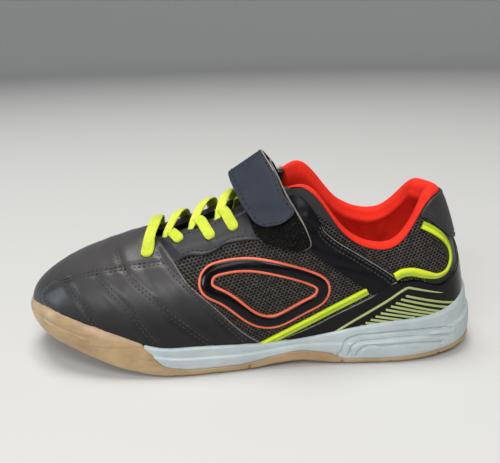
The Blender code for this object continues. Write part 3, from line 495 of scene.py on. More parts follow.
def troughs(points, lines):
    """Height of soft creases: each a trough with a low ridge on both sides."""
    height = np.zeros(points.shape[:-1])
    for line, depth, width in lines:
        far = distance_to(points, line)
        height -= depth * np.exp(-(far / width) ** 2)
        height += CREASE_RIDGE * depth * np.exp(-((far - 2 * width) / width) ** 2)
    return height


def panel(name, spots, materials, lift, thick, edge=0.7, roll=0.0, lines=(), replaces=(), puff=0.0,
          pale=None):
    """Closed sheet on the upper over a grid of spots, with rounded or rolled edges and creases."""
    ground = lifted(spots, lift)
    border = from_border(ground)
    height = thick * (EDGE_LOW + (1 - EDGE_LOW) * rounded(border, edge))
    height += roll * np.exp(-((border - ROLL_IN) / ROLL_WIDE) ** 2)
    height += troughs(ground, lines) * np.clip(border / CREASE_FADE, 0, 1)
    height += puff * smooth_step(0, PUFF_REACH, border)
    return sheet(name, lifted(spots, lift + height), ground, materials, replaces, pale=pale, thin=3)


def between(first, second, steps):
    """Lines or points between two, at shares of the way."""
    first = np.asarray(first, dtype=float)
    steps = np.reshape(steps, (-1,) + (1,) * first.ndim)
    return first * (1 - steps) + np.asarray(second) * steps


# Stitches: beads along lines, gathered by thread
THREADS = {}
STITCH_SIDES = 6
STITCH_FULL = 0.3


def stitch(thread, middle, out, step=2.3, length=1.6, radius=0.3):
    """Add a row of stitches along a line of points; out is the way up at each point."""
    far = run(middle)
    at = np.arange(step / 2, far[-1], step)
    centre = read_off(at, far, middle)
    up = unit(read_off(at, far, out))
    ahead = unit(read_off(at, far, np.gradient(middle, axis=0)))
    beside = unit(np.cross(up, ahead))
    angles = np.linspace(0, 2 * np.pi, STITCH_SIDES, endpoint=False)
    form = [(-length / 2, 0, 0)]
    for end in (-length * STITCH_FULL, length * STITCH_FULL):
        form += [(end, np.cos(angle) * radius, np.sin(angle) * radius) for angle in angles]
    form += [(length / 2, 0, 0)]
    beads = centre[:, None] + sum(np.array(form)[:, axis, None] * way[:, None]
                                  for axis, way in enumerate((ahead, beside, up)))
    THREADS.setdefault(thread, []).append(beads)


def stitch_spots(thread, spots, lift, **sizes):
    stitch(thread, lifted(spots, lift), normals(spots), **sizes)


def make_stitches(thread, material):
    beads = np.concatenate(THREADS[thread])
    last = 2 * STITCH_SIDES + 1
    form = []
    for number in range(STITCH_SIDES):
        low = 1 + number
        high = 1 + (number + 1) % STITCH_SIDES
        form.append((0, high, low))
        form.append((low, high, high + STITCH_SIDES, low + STITCH_SIDES))
        form.append((last, low + STITCH_SIDES, high + STITCH_SIDES))
    faces = []
    for start in range(0, len(beads) * (last + 1), last + 1):
        faces += [tuple(corner + start for corner in face) for face in form]
    return piece("stitches_" + thread, beads, faces, [material])


# Materials
def new_material(name, colour, roughness, **sockets):
    material = bpy.data.materials.new(name)
    material.use_nodes = True
    shader = material.node_tree.nodes["Principled BSDF"]
    shader.inputs["Base Color"].default_value = (*colour, 1)
    shader.inputs["Roughness"].default_value = roughness
    for socket, value in sockets.items():
        shader.inputs[socket.replace("_", " ")].default_value = value
    return material


def node(material, kind, inputs=None, **settings):
    """Add a shader node; an input is a value or another node's output."""
    made = material.node_tree.nodes.new("ShaderNode" + kind)
    for setting, value in settings.items():
        setattr(made, setting, value)
    for socket, value in (inputs or {}).items():
        if isinstance(value, bpy.types.NodeSocket):
            material.node_tree.links.new(value, made.inputs[socket])
        else:
            made.inputs[socket].default_value = value
    return made


def wire(material, socket, output):
    shader = material.node_tree.nodes["Principled BSDF"]
    material.node_tree.links.new(output, shader.inputs[socket])


def mapped(material, value, low, high, to_low, to_high):
    return node(material, "MapRange", {0: value, 1: low, 2: high, 3: to_low, 4: to_high}).outputs[0]


def mixed(material, share, first, second):
    """Colour between two colours or outputs."""
    first = first if isinstance(first, bpy.types.NodeSocket) else (*first, 1)
    second = second if isinstance(second, bpy.types.NodeSocket) else (*second, 1)
    return node(material, "Mix", {0: share, 6: first, 7: second}, data_type="RGBA").outputs[2]


def here(material, stretch=(1, 1, 1)):
    """Place in the shoe's frame, in millimetres."""
    place = node(material, "TexCoord").outputs["Object"]
    scale = tuple(1000.0 * share for share in stretch)
    return node(material, "Mapping", {"Vector": place, "Scale": scale}).outputs[0]


def noise(material, place, scale, detail=3.0, rough=0.55):
    return node(material, "TexNoise", {"Vector": place, "Scale": scale, "Detail": detail,
                                       "Roughness": rough}).outputs["Fac"]


def bump(material, height, depth, before=None, strength=1.0):
    inputs = {"Height": height, "Distance": depth * MM, "Strength": strength}
    if before is not None:
        inputs["Normal"] = before
    return node(material, "Bump", inputs).outputs[0]


def cloudy(material, cloud, first, second):
    """Colour that drifts between two with a slow noise."""
    return mixed(material, mapped(material, cloud, 0.35, 0.7, 0, 1), first, second)


def height_up(material, place):
    return node(material, "SeparateXYZ", {0: place}).outputs["Z"]


PAINTED_SHEEN_FROM = 24.0
PAINTED_SHEEN_TO = 48.0
DUST = (0.30, 0.28, 0.26)


def leather(name, dark, light, roughness, grain=0.9, depth=0.05, gloss=0.5, dust=0.0, painted_sheen=None):
    """Fine-grained leather with cloudy colour, pores and dust, and a lighter colour higher above the sole
    that is painted sheen of the top-lit upper.
    """
    material = new_material(name, dark, roughness, Specular_IOR_Level=gloss)
    place = here(material)
    cloud = noise(material, place, 0.06, 4.0)
    pores = node(material, "TexVoronoi", {"Vector": place, "Scale": 1 / grain}).outputs["Distance"]
    fine = noise(material, place, 2.5, 2.0)
    colour = cloudy(material, cloud, dark, light)
    # painted sheen: the colour turns lighter higher up, where light falls on the top of the upper
    if painted_sheen is not None:
        up = height_up(material, place)
        colour = mixed(material, mapped(material, up, PAINTED_SHEEN_FROM, PAINTED_SHEEN_TO, 0, 1), colour, painted_sheen)
    if dust:
        specks = noise(material, place, 1.4, 5.0, 0.7)
        colour = mixed(material, mapped(material, specks, 0.62, 0.8, 0, dust), colour, DUST)
    wire(material, "Base Color", colour)
    wire(material, "Roughness", mapped(material, cloud, 0.3, 0.7, roughness - 0.07, roughness + 0.08))
    rough = bump(material, pores, depth, strength=0.6)
    wire(material, "Normal", bump(material, fine, depth * 0.7, rough, 0.5))
    return material


def net_cloth(name, hole, rib, light):
    """Open mesh: holes painted near black between lighter ribs, from the mark made with the mesh; the near
    black is painted shade over the dark cloth behind.
    """
    material = new_material(name, rib, 0.7, Specular_IOR_Level=0.3)
    mark = node(material, "Attribute", attribute_name="hole").outputs["Fac"]
    place = here(material)
    ribs = cloudy(material, noise(material, place, 0.5, 4.0), rib, light)
    # the holes are shallow dents painted near black: painted shade
    wire(material, "Base Color", mixed(material, mapped(material, mark, 0.2, 0.75, 0, 1), ribs, hole))
    threads = noise(material, place, 4.0, 2.0)
    wire(material, "Normal", bump(material, threads, 0.08, strength=0.6))
    return material


WAVE_SCALE = 0.314


def bands(material, place, size, distortion, direction):
    """Bands of a size in millimetres, square to one direction of a map."""
    inputs = {"Vector": place, "Scale": WAVE_SCALE / size, "Distortion": distortion, "Detail": 1.0,
              "Detail Scale": 0.5}
    return node(material, "TexWave", inputs, wave_type="BANDS", bands_direction=direction).outputs["Fac"]


def knit(name, colour, shade, rib):
    """Ribbed knit with painted shade in the valleys between its ribs; its ribs follow the mesh's own map, in
    millimetres.
    """
    material = new_material(name, colour, 0.85, Specular_IOR_Level=0.25)
    place = node(material, "UVMap").outputs[0]
    across = bands(material, place, rib, 0.6, "Y")
    down = bands(material, place, rib * 0.8, 0.8, "X")
    both = node(material, "Math", {0: across, 1: down}, operation="MULTIPLY").outputs[0]
    cloud = noise(material, here(material), 0.12, 3.0)
    base = cloudy(material, cloud, colour, tuple(0.8 * c for c in colour))
    # valleys between the ribs are mixed toward the shade colour: painted shade
    wire(material, "Base Color", mixed(material, mapped(material, both, 0.0, 0.3, 0.55, 0.0), base, shade))
    wire(material, "Normal", bump(material, both, 0.22, strength=0.8))
    return material


def pile_cloth(name, dark, shade, tip):
    """Short rough pile with pale specks at the tips."""
    material = new_material(name, dark, 0.85, Specular_IOR_Level=0.1)
    place = here(material)
    specks = noise(material, place, 2.0, 3.0, 0.7)
    base = cloudy(material, noise(material, place, 0.3, 4.0), dark, shade)
    wire(material, "Base Color", mixed(material, mapped(material, specks, 0.60, 0.76, 0, 0.8), base, tip))
    wire(material, "Normal", bump(material, specks, 0.4, strength=0.9))
    return material


def woven(name, colour, shade, scale=2.2, depth=0.08, roughness=0.75, sheen=0.2):
    """Close cloth with fine threads and uneven colour."""
    material = new_material(name, colour, roughness, Sheen_Weight=sheen, Sheen_Roughness=0.4)
    place = here(material)
    threads = node(material, "TexVoronoi", {"Vector": place, "Scale": scale}).outputs["Distance"]
    wire(material, "Base Color", cloudy(material, noise(material, place, 0.25, 4.0), colour, shade))
    wire(material, "Normal", bump(material, threads, depth, strength=0.8))
    return material


def moulded(name, colour, shade, roughness, dirt_and_shade=None, speck=0.0, below=2.5, gloss=0.5):
    """Moulded rubber, foam or plastic with faint mottling, dirt streaks and a darker band near the floor that
    is dirt and painted shade.
    """
    material = new_material(name, colour, roughness, Specular_IOR_Level=gloss)
    place = here(material)
    mottle = noise(material, place, 0.09, 5.0)
    fine = noise(material, place, 1.6, 4.0)
    base = mixed(material, mapped(material, mottle, 0.3, 0.7, 0, 1), colour, shade)
    if speck:
        specks = mapped(material, fine, 0.6, 0.78, 0, speck)
        base = mixed(material, specks, base, tuple(0.5 * c for c in shade))
    if dirt_and_shade is not None:
        streaks = noise(material, here(material, (0.15, 0.6, 1.2)), 0.5, 5.0, 0.65)
        # darker toward the floor, up to below millimetres: dirt and painted shade
        low = mapped(material, height_up(material, place), 0.0, below, 0.55, 0.0)
        streaks = mapped(material, streaks, 0.52, 0.75, 0.0, 0.5)
        amount = node(material, "Math", {0: streaks, 1: low}, operation="MAXIMUM", use_clamp=True).outputs[0]
        base = mixed(material, amount, base, dirt_and_shade)
    wire(material, "Base Color", base)
    wire(material, "Roughness", mapped(material, mottle, 0.3, 0.7, roughness - 0.08, roughness + 0.1))
    wire(material, "Normal", bump(material, fine, 0.05, strength=0.5))
    return material


# the vamp's lighter colour higher up is painted sheen
VAMP_LEATHER = leather("vamp_leather", (0.003, 0.0035, 0.0048), (0.009, 0.008, 0.008), 0.40,
                       grain=0.8, gloss=0.32, dust=0.06, painted_sheen=(0.048, 0.045, 0.045))
NAVY_LEATHER = leather("navy_leather", (0.011, 0.012, 0.016), (0.023, 0.022, 0.025), 0.47,
                       gloss=0.45, dust=0.08)
TAB_LEATHER = leather("tab_leather", (0.018, 0.018, 0.020), (0.032, 0.031, 0.033), 0.52,
                      gloss=0.4, dust=0.10)
STRAP_LEATHER = leather("strap_leather", (0.014, 0.018, 0.029), (0.021, 0.025, 0.037), 0.52,
                        grain=0.8, gloss=0.32, dust=0.08)
GLOSS_LEATHER = leather("gloss_leather", (0.0025, 0.0026, 0.0038), (0.005, 0.005, 0.0065), 0.34,
                        grain=1.2, depth=0.03, gloss=0.14)
FILM = moulded("gloss_film", (0.0015, 0.0015, 0.002), (0.003, 0.003, 0.0035), 0.18, gloss=0.2)
# near-black hole colour of the mesh: painted shade
MESH = net_cloth("mesh_cloth", (0.0004, 0.0004, 0.0004), (0.030, 0.025, 0.021), (0.105, 0.089, 0.074))
SHELL = woven("shell_cloth", (0.008, 0.008, 0.009), (0.014, 0.013, 0.013))
CUT_EDGE = woven("cut_edge", (0.16, 0.145, 0.13), (0.27, 0.24, 0.22), 3.0)
CORAL = moulded("coral_edge", (0.80, 0.150, 0.070), (0.62, 0.100, 0.050), 0.42)
LIME = moulded("lime_trim", (0.40, 0.54, 0.012), (0.32, 0.46, 0.010), 0.42)
# brighter copy of the lime trim for the fold: painted highlight
LIME_HIGHLIGHT = moulded("lime_painted_highlight", (0.70, 0.80, 0.015), (0.60, 0.72, 0.012), 0.45)
PALE_LIME = moulded("pale_lime_line", (0.40, 0.47, 0.17), (0.32, 0.38, 0.13), 0.5)
LACE = woven("lace_cloth", (0.58, 0.66, 0.042), (0.47, 0.55, 0.032), 3.0, 0.06, 0.7, 0.05)
LINING = knit("lining_knit", (0.95, 0.032, 0.012), (0.56, 0.010, 0.004), 1.1)
INSOLE = knit("insole_knit", (0.62, 0.035, 0.012), (0.30, 0.012, 0.006), 1.2)
TONGUE = woven("tongue_cloth", (0.008, 0.008, 0.009), (0.016, 0.015, 0.015), 1.6, 0.12)
PILE = pile_cloth("pile_cloth", (0.0015, 0.0015, 0.0018), (0.006, 0.0055, 0.0055), (0.20, 0.165, 0.13))
# foam and gum turn darker toward the floor: dirt and painted shade
FOAM = moulded("midsole_foam", (0.46, 0.51, 0.515), (0.37, 0.43, 0.445), 0.38,
               dirt_and_shade=(0.28, 0.27, 0.245), below=5.0)
GUM = moulded("gum_rubber", (0.42, 0.29, 0.150), (0.30, 0.195, 0.092), 0.38,
              dirt_and_shade=(0.13, 0.088, 0.052), speck=0.2)
RING = moulded("ring_plastic", (0.42, 0.41, 0.39), (0.33, 0.32, 0.31), 0.35)
THREAD = woven("dark_thread", (0.014, 0.013, 0.013), (0.034, 0.031, 0.030), 4.0)
NAVY_THREAD = woven("navy_thread", (0.006, 0.0065, 0.009), (0.012, 0.013, 0.017), 4.0)
LIME_THREAD = woven("lime_thread", (0.26, 0.42, 0.010), (0.20, 0.35, 0.008), 4.0)


# Upper's shell: the hidden wall that carries every panel
SHELL_COLUMNS = 210
SHELL_ROWS = 24
SHELL_BACK = 0.05


def make_shell():
    places = np.linspace(0, 1, SHELL_COLUMNS, endpoint=False)
    rises = np.linspace(0, 1, SHELL_ROWS)
    outside = [lifted(at_rise(places, rise), -SHELL_BACK) for rise in rises]
    inside = [lifted(at_rise(places, rise), -UPPER_WALL) for rise in rises[::-1]]
    rows = np.array(outside + inside)
    piece("upper_shell", rows, grid_faces(*rows.shape[:2], True, True), [SHELL], ["upper"])


# Vamp: the leather front, with its rear edge, double stitch rows and soft creases on the lateral side
VAMP_EDGE = [(158.5, 9.0, 58.6), (148.9, 24.2, 52.2), (141.5, 32.0, 43.7), (131, 34.7, 34.5),
             (115, 33.4, 18), (106, 31.7, 11), (104, 31.4, 9.2)]
VAMP_ROWS = [
    [(154.5, 24, 50.9), (164.7, 24, 50), (179, 24.7, 48), (199.6, 21, 42.5), (211, 17.5, 36.6),
     (214, 17, 33.8), (211.5, 21.5, 30.6), (205, 27, 27.6)],
    [(206, 14, 42.6), (202, 19, 42), (193, 30, 36), (185, 35, 24.6), (183.5, 36, 22)],
    [(185, 25.7, 45.5), (171, 35, 35), (157.7, 38, 17.4)],
    [(177.5, 12.5, 54.2), (172, 25, 48.6), (154.6, 35.7, 34.5), (133, 36, 15.7)],
    [(156.5, 17.6, 54.8), (151.7, 25, 50.7), (138, 34, 38.5), (121, 34, 20.7), (115, 33.6, 14)],
]
PAIR_APART = 1.9
Crease = namedtuple("Crease", "depth width points")
VAMP_CREASES = [
    Crease(0.16, 2.6, [(169, 12, 56), (165, 22, 51), (158, 31, 42)]),
    Crease(0.14, 2.2, [(163, 26, 48.5), (154, 33, 38), (147, 36, 28)]),
    Crease(0.16, 3.0, [(182, 10, 53.5), (179, 20, 50), (174, 29, 42)]),
    Crease(0.12, 2.6, [(192, 8, 49), (188, 22, 45), (180, 31, 36)]),
    Crease(0.12, 2.2, [(143, 33, 40), (136, 35, 30), (130, 35.5, 21)]),
]
VAMP_LIFT = 0.1
VAMP_THICK = 0.95
VAMP_LOWEST = 0.03
VAMP_REACH = 0.965
SEAM_DEPTH = 0.42
SEAM_WIDTH = 1.7
CREASE_LIFT = 0.6
STITCH_SUNK = 0.22


def offset_spots(spots, far):
    """The same line moved sideways on the upper."""
    middle = lifted(spots)
    side = "lateral" if np.median(spots[:, 0]) < TOE_PLACE else "medial"
    return find_spots(middle + ways(middle, normals(spots))[0] * far, side, [0, 1, 2])


VAMP_EDGES = {}


def make_vamp():
    seams = []
    creases = []
    for side in SIDES:
        edge = space_line(side, VAMP_EDGE, 60)
        edge = edge[np.argsort(edge[:, 1])]
        VAMP_EDGES[side] = (edge[:, 1], edge[:, 0])
        for points in VAMP_ROWS:
            seams.append(space_line(side, points, 90))
            creases.append((lifted(seams[-1], CREASE_LIFT), SEAM_DEPTH, SEAM_WIDTH))
        for crease in VAMP_CREASES:
            line = lifted(space_line(side, crease.points, 50), CREASE_LIFT)
            creases.append((line, crease.depth, crease.width))
    rises = VAMP_LOWEST + VAMP_REACH * shares(84, 70)
    lateral, medial = [np.interp(rises, *VAMP_EDGES[side]) for side in SIDES]
    spots = at_rise(between(lateral, medial, shares(270, 220)).T, rises[:, None])
    panel("vamp_panel", spots, [VAMP_LEATHER, CUT_EDGE], VAMP_LIFT, VAMP_THICK, 0.5,
          lines=creases, replaces=["vamp"], pale=beside_border(*spots.shape[:2], first=2, last=2))
    for seam in seams:
        for far in (-PAIR_APART / 2, PAIR_APART / 2):
            stitch_spots("dark", offset_spots(seam, far), VAMP_LIFT + VAMP_THICK - STITCH_SUNK)


# Mesh cloth behind the panels: cell sizes in side view
CELL_LONG = 1.95
CELL_HIGH = 1.25
HOLE_LONG = 0.86
HOLE_HIGH = 0.62
MESH_TURN = np.radians(-14)
MESH_STEP_ALONG = 0.36
MESH_STEP_UP = 0.31


def holes(points):
    """How far a point is inside a hole of the mesh, from 0 on its ribs to 1."""
    along = points[..., 0] * np.cos(MESH_TURN) + points[..., 2] * np.sin(MESH_TURN)
    up = points[..., 2] * np.cos(MESH_TURN) - points[..., 0] * np.sin(MESH_TURN)
    row = np.round(up / CELL_HIGH)
    along = along / CELL_LONG + 0.5 * np.mod(row, 2)
    beside = (along - np.round(along)) * CELL_LONG
    above = up - row * CELL_HIGH
    return 1 - smooth_step(0.7, 1.1, np.sqrt((beside / HOLE_LONG) ** 2 + (above / HOLE_HIGH) ** 2))


MeshPanel = namedtuple("MeshPanel", "name top foot long high")
MESH_PANELS = [
    MeshPanel("window_mesh_",
              [(153, 57.5), (140, 58), (124, 63), (110, 66), (96, 69), (80, 58), (66, 48), (54, 40)],
              [(142, 44), (131, 34.5), (116, 19), (104, 11.5), (92, 15), (80, 21), (67, 28), (54, 35)],
              112, 46),
    MeshPanel("ankle_mesh_",
              [(84, 76), (77, 71), (68, 63.4), (58, 57.4), (48, 57.4), (40, 63), (34, 68.5), (29, 71)],
              [(84, 68), (75, 60), (66, 53), (56, 46), (46, 40.5), (36, 39.5), (26, 40), (15, 42)],
              78, 30),
]
MESH_THICK = 0.55
MESH_UNDER = 0.02
HOLE_DEEP = 0.5


def make_mesh_cloth():
    for side in SIDES:
        for cloth in MESH_PANELS:
            wanted = int(cloth.long / MESH_STEP_ALONG)
            foot, top = [side_line(side, points, wanted) for points in (cloth.foot, cloth.top)]
            spots = between(foot, top, np.linspace(0, 1, int(cloth.high / MESH_STEP_UP)))
            hole = holes(lifted(spots))
            sheet(cloth.name + side, lifted(spots, MESH_THICK - HOLE_DEEP * hole), lifted(spots, -MESH_UNDER),
                  [MESH], marks={"hole": hole}, thin=6)


# Leather panels over the mesh
EYESTAY_EDGE = [(161, 55.6), (155, 51.6), (150.5, 50.2), (146, 52.2), (140.4, 54.2), (134, 54.6), (129, 56),
                (123.5, 59.0), (117, 60.4), (107, 61.6)]
BAND_TOP = [(97, 81), (90, 82.6), (84.2, 77.6), (80.6, 71.6), (78.4, 66.9), (76.4, 64.9), (62.3, 55.0),
            (47.6, 45.2), (43.4, 42.0)]
BAND_FOOT = [(103, 64), (92, 63.4), (84, 57), (76, 50.6), (65, 42.4), (57, 36.6), (54.4, 34.6)]
COUNTER_EDGE = [(96, 14.6), (84, 19.6), (70, 26.8), (56, 33.8), (47, 39.8), (37, 41.0), (22, 37.6),
                (14.4, 41)]
COUNTER_BACK = 54.5
COUNTER_PALE_END = 44.0
QUARTER_PALE_START = 79.5
TAB_EDGE = [(32.5, 69.6), (24.4, 65.0), (15.6, 57.6)]
TAB_BACK = 55.5
EYESTAY_LIFT = 0.4
EYESTAY_HIGH = 0.985
SCALLOPS = 3.2
SCALLOP_DEEP = 0.012
SCALLOP_START = 0.6
EYESTAY_STITCHES = (2.6, 2.2)
BAND_STITCHES = (1.6, 3.6)
HEEL_TAB_STITCHES = (1.5, 3.4)
HEEL_TAB_HIGH = 0.995
STITCH_UP = 0.12
BAND_STITCH_UP = 0.08
SIDE_CREASE_LIFT = 1.2
VAMP_LAP_START = -6.0
VAMP_LAP_END = -0.5
WELL_BEHIND = 0.97
BAND_LIFT = 0.5
COUNTER_LIFT = 0.35
COUNTER_THICK = 0.9
HEEL_TAB_LIFT = 0.45
HEEL_TAB_THICK = 1.0
PANEL_THICK = 0.95
QUARTER_CREASES = [
    Crease(0.42, 1.5, [(99, 73), (94, 69), (88, 66)]),
    Crease(0.36, 1.3, [(92, 75), (87, 71.5), (83, 68.5)]),
    Crease(0.34, 1.4, [(86, 63), (79, 58.5), (71, 55.5)]),
    Crease(0.28, 1.2, [(72, 50.5), (66, 49), (58, 46.5)]),
    Crease(0.30, 1.6, [(97, 79), (92, 77), (88, 75)]),
]
EYESTAY_CREASES = [
    Crease(0.20, 1.4, [(147, 57), (140, 58.5), (133, 60)]),
    Crease(0.18, 1.2, [(128, 60.5), (122, 63), (115, 64.5)]),
]


def side_creases(side, creases):
    """Lines, depths and widths of creases that are given in side view."""
    return [(lifted(side_line(side, crease.points, 40), SIDE_CREASE_LIFT), crease.depth, crease.width)
            for crease in creases]


def inner_line(first, second, far):
    """Line of spots a distance in from the first edge of a panel toward its second edge."""
    width = np.linalg.norm(lifted(second) - lifted(first), axis=-1)
    share = np.clip(far / width, 0, 0.5)[:, None]
    return first * (1 - share) + second * share


def behind_vamp(side, spots):
    """0 where a spot lies under the vamp, 1 where it is well behind the vamp's rear edge."""
    edge = np.interp(spots[..., 1], *VAMP_EDGES[side])
    ahead = (spots[..., 0] - edge) * (1 if side == "lateral" else -1) * CHORDS.sum()
    return 1 - smooth_step(VAMP_LAP_START, VAMP_LAP_END, ahead)


def make_eyestays():
    for side in SIDES:
        low = side_line(side, EYESTAY_EDGE, shares(150, 62))
        turns = np.linspace(0, 1, len(low)) * 2 * np.pi * SCALLOPS
        high = at_rise(low[:, 0], EYESTAY_HIGH + SCALLOP_DEEP * np.cos(turns + SCALLOP_START))
        spots = between(low, high, shares(40, 18))
        free = behind_vamp(side, spots)
        panel("eyestay_panel_" + side, spots, [NAVY_LEATHER], EYESTAY_LIFT * free,
              PANEL_THICK * (0.5 + 0.5 * free), edge=0.9, roll=0.35, puff=0.15 * free,
              lines=side_creases(side, EYESTAY_CREASES), replaces=["eyestay_" + side])
        for first, second, far in zip((low, high), (high, low), EYESTAY_STITCHES):
            line = inner_line(first, second, far)
            line = line[behind_vamp(side, line) > WELL_BEHIND]
            stitch_spots("dark", line, EYESTAY_LIFT + PANEL_THICK + STITCH_UP)


def make_bands():
    for side in SIDES:
        foot, top = [side_line(side, points, shares(150, 68)) for points in (BAND_FOOT, BAND_TOP)]
        spots = between(foot, top, shares(44, 16))
        pale = beside_border(*spots.shape[:2], end=2)
        pale &= lifted(top)[None, :-1, 0] < QUARTER_PALE_START
        panel("quarter_panel_" + side, spots, [GLOSS_LEATHER, CUT_EDGE], BAND_LIFT,
              PANEL_THICK, edge=0.5, puff=0.2, lines=side_creases(side, QUARTER_CREASES),
              replaces=["quarter_band_" + side], pale=pale)
        for far in BAND_STITCHES:
            line = inner_line(top, foot, far)
            stitch_spots("dark", line[len(line) // 3:], BAND_LIFT + PANEL_THICK + BAND_STITCH_UP, step=2.0)


def round_heel(points, back_up, steps):
    """Line of spots round the heel through the same side view on both sides."""
    place_weight = np.array([10.0, 1.0])
    halves = []
    for side, turn in (("lateral", 0.0), ("medial", 1.0)):
        spots = find_spots(points, side, [0, 2])
        back = find_spots([[wall(0, 0.5)[0], back_up]], side, [0, 2])[0, 1]
        spots = np.concatenate([[(turn, back)], spots[::-1]])
        spots[:, 0] = np.where(spots[:, 0] > 0.5, spots[:, 0] - 1, spots[:, 0])
        halves.append(flowing(spots * place_weight, steps) / place_weight)
    return np.concatenate([halves[0][::-1], halves[1][1:]])


def make_heel():
    top = round_heel(COUNTER_EDGE, COUNTER_BACK, 110)
    foot = at_rise(top[:, 0], np.minimum(lip_rise(top[:, 0]), top[:, 1]) - 0.02)
    spots = between(foot, top, shares(40, 18))
    pale = beside_border(*spots.shape[:2], end=2)
    pale &= lifted(top)[None, :-1, 0] > COUNTER_PALE_END
    panel("heel_counter_panel", spots, [FILM, CUT_EDGE], COUNTER_LIFT, COUNTER_THICK, edge=0.4,
          replaces=["heel_counter"], pale=pale)
    low = round_heel(TAB_EDGE, TAB_BACK, 60)
    high = at_rise(low[:, 0], HEEL_TAB_HIGH)
    panel("heel_tab_panel", between(low, high, shares(34, 22)), [TAB_LEATHER],
          HEEL_TAB_LIFT, HEEL_TAB_THICK, edge=0.9, roll=0.15, puff=0.3, replaces=["heel_tab"])
    for far in HEEL_TAB_STITCHES:
        line = inner_line(low, high, far)
        stitch_spots("dark", line, HEEL_TAB_LIFT + HEEL_TAB_THICK + STITCH_UP, step=2.0)


# Pale lines printed on the heel counter, from front to rear in side view
CHEVRON = [(73.8, 15.6), (64, 22.0), (55.9, 26.9), (47, 32.4), (41.0, 36.4), (38.5, 37.6), (35.5, 37.0),
           (29.5, 35.4), (20.4, 33.0), (10.5, 31.0)]
HEEL_LINE_STARTS = np.linspace((39.3, 33.7), (60.4, 19.2), 10).round(1)
HEEL_LINE_ENDS = [(12.1, 25.9), (13.3, 23.9), (15.1, 21.9), (21.4, 22.4), (27.2, 22.3), (34.3, 22.3),
                  (40.2, 21.5), (44.1, 20.5), (48.9, 19.8), (55.6, 19.0)]
CHEVRON_WIDTH = 1.25
HEEL_LINE_WIDTH = 1.15
HEEL_LINE_STEPS = 60
HEEL_LINE_LIFT = 1.15
HEEL_LINE_HIGH = 0.12
HEEL_LINE_FOOT = 0.08


def make_heel_lines():
    taper = 0.35 + 0.65 * smooth_step(1.0, 0.55, np.linspace(0, 1, HEEL_LINE_STEPS))
    lines = [(CHEVRON, CHEVRON_WIDTH, taper)]
    lines += [(ends, HEEL_LINE_WIDTH, 1.0) for ends in zip(HEEL_LINE_STARTS, HEEL_LINE_ENDS)]
    for side in SIDES:
        for number, (points, width, scale) in enumerate(lines):
            spots = side_line(side, points, HEEL_LINE_STEPS, 0.0)
            sweep("heel_line_%s_%d" % (side, number), lifted(spots, HEEL_LINE_LIFT), normals(spots),
                  dome(width, HEEL_LINE_HIGH, HEEL_LINE_FOOT, 5), [PALE_LIME], scale=scale)


# Lime piping: each strip has a fold along one edge, the first four sides of its profile, painted brighter as
# a painted highlight.
# higher: how much of the medial side's extra height it takes.
Piping = namedtuple("Piping", "name higher steps stitch_up points profile")
PIPINGS = [
    Piping("lower", 0.5, 120, 0.95,
           [(108, 11.4), (98, 16.2), (89.4, 20.4), (70.3, 30.2), (57.5, 36.7)],
           [(1.9, 0.5), (1.75, 1.15), (1.2, 1.45), (0.6, 1.25), (0.3, 0.95), (-0.9, 1.0), (-1.5, 0.85),
            (-1.7, 0.4), (-1.7, 0), (1.9, 0)]),
    Piping("collar", 0.0, 150, 1.05,
           [(31.8, 66.6), (28.5, 64.9), (24.4, 62.2), (19.6, 57.6), (16.6, 52), (16.4, 47), (18.4, 43.4),
            (23.0, 41.7), (29.3, 43.0), (37.0, 45.0), (41.5, 44.6), (44.6, 43.0)],
           [(-1.5, 0.5), (-1.35, 1.1), (-0.8, 1.35), (-0.3, 1.15), (0.0, 0.9), (0.9, 0.95), (1.35, 0.75),
            (1.5, 0.4), (1.5, 0), (-1.5, 0)]),
]
PIPING_LIFT = 0.3
PAINTED_HIGHLIGHT_SIDES = [1, 1, 1, 1, 0, 0, 0, 0, 0, 0]
COLLAR_PIPING_SCALE = 0.72
WIDER_AT_TOP = 0.55
WIDER_AT_FOOT = 0.65


def make_piping():
    for side in SIDES:
        for strip in PIPINGS:
            spots = side_line(side, strip.points, strip.steps, strip.higher)
            middle = lifted(spots, PIPING_LIFT)
            out = normals(spots)
            scale = 1.0
            if strip.name == "collar":
                share = np.linspace(0, 1, len(spots))
                wider = WIDER_AT_TOP * smooth_step(0.42, 0.1, share)
                scale = COLLAR_PIPING_SCALE + wider + WIDER_AT_FOOT * smooth_step(0.55, 0.8, share)
            sweep("lime_%s_%s" % (strip.name, side), middle, out, strip.profile, [LIME, LIME_HIGHLIGHT],
                  scale=scale, replaces=["piping_%s_%s" % (strip.name, side)], which=PAINTED_HIGHLIGHT_SIDES)
            stitch("lime", middle + out * strip.stitch_up, out, step=1.5, length=1.0, radius=0.16)


# Frame on the side: a glossy raised band with coral edges
SIDE_FRAME = [(133, 42.4), (132.2, 47), (126, 50), (116.5, 51.2), (105, 50.6), (93, 47.8), (83.6, 44.2),
              (78.8, 40.2), (79.4, 35.6), (85.6, 31.2), (94, 26.8), (101.4, 23.9), (108.8, 24.8), (117.5, 31),
              (127, 38)]
FRAME_HALF = 2.55
FRAME_LIFT = 0.35
FRAME_HIGH = 1.15
FRAME_FOOT = 0.25
CORAL_WIDTH = 1.35
CORAL_APART = 0.35
CORAL_HIGH = 0.75
CORAL_FOOT = 0.15


def side_loop(side, points, count):
    points = np.array(points, dtype=float)
    if side == "medial":
        points = points + np.array([0.0, MEDIAL_HIGHER])
    steps = np.linalg.norm(np.roll(points, -1, axis=0) - points, axis=1)
    curve = closed_spline(np.cumsum(steps) - steps, points, steps.sum())
    return find_spots(curve(np.linspace(0, steps.sum(), count, endpoint=False)), side, [0, 2])


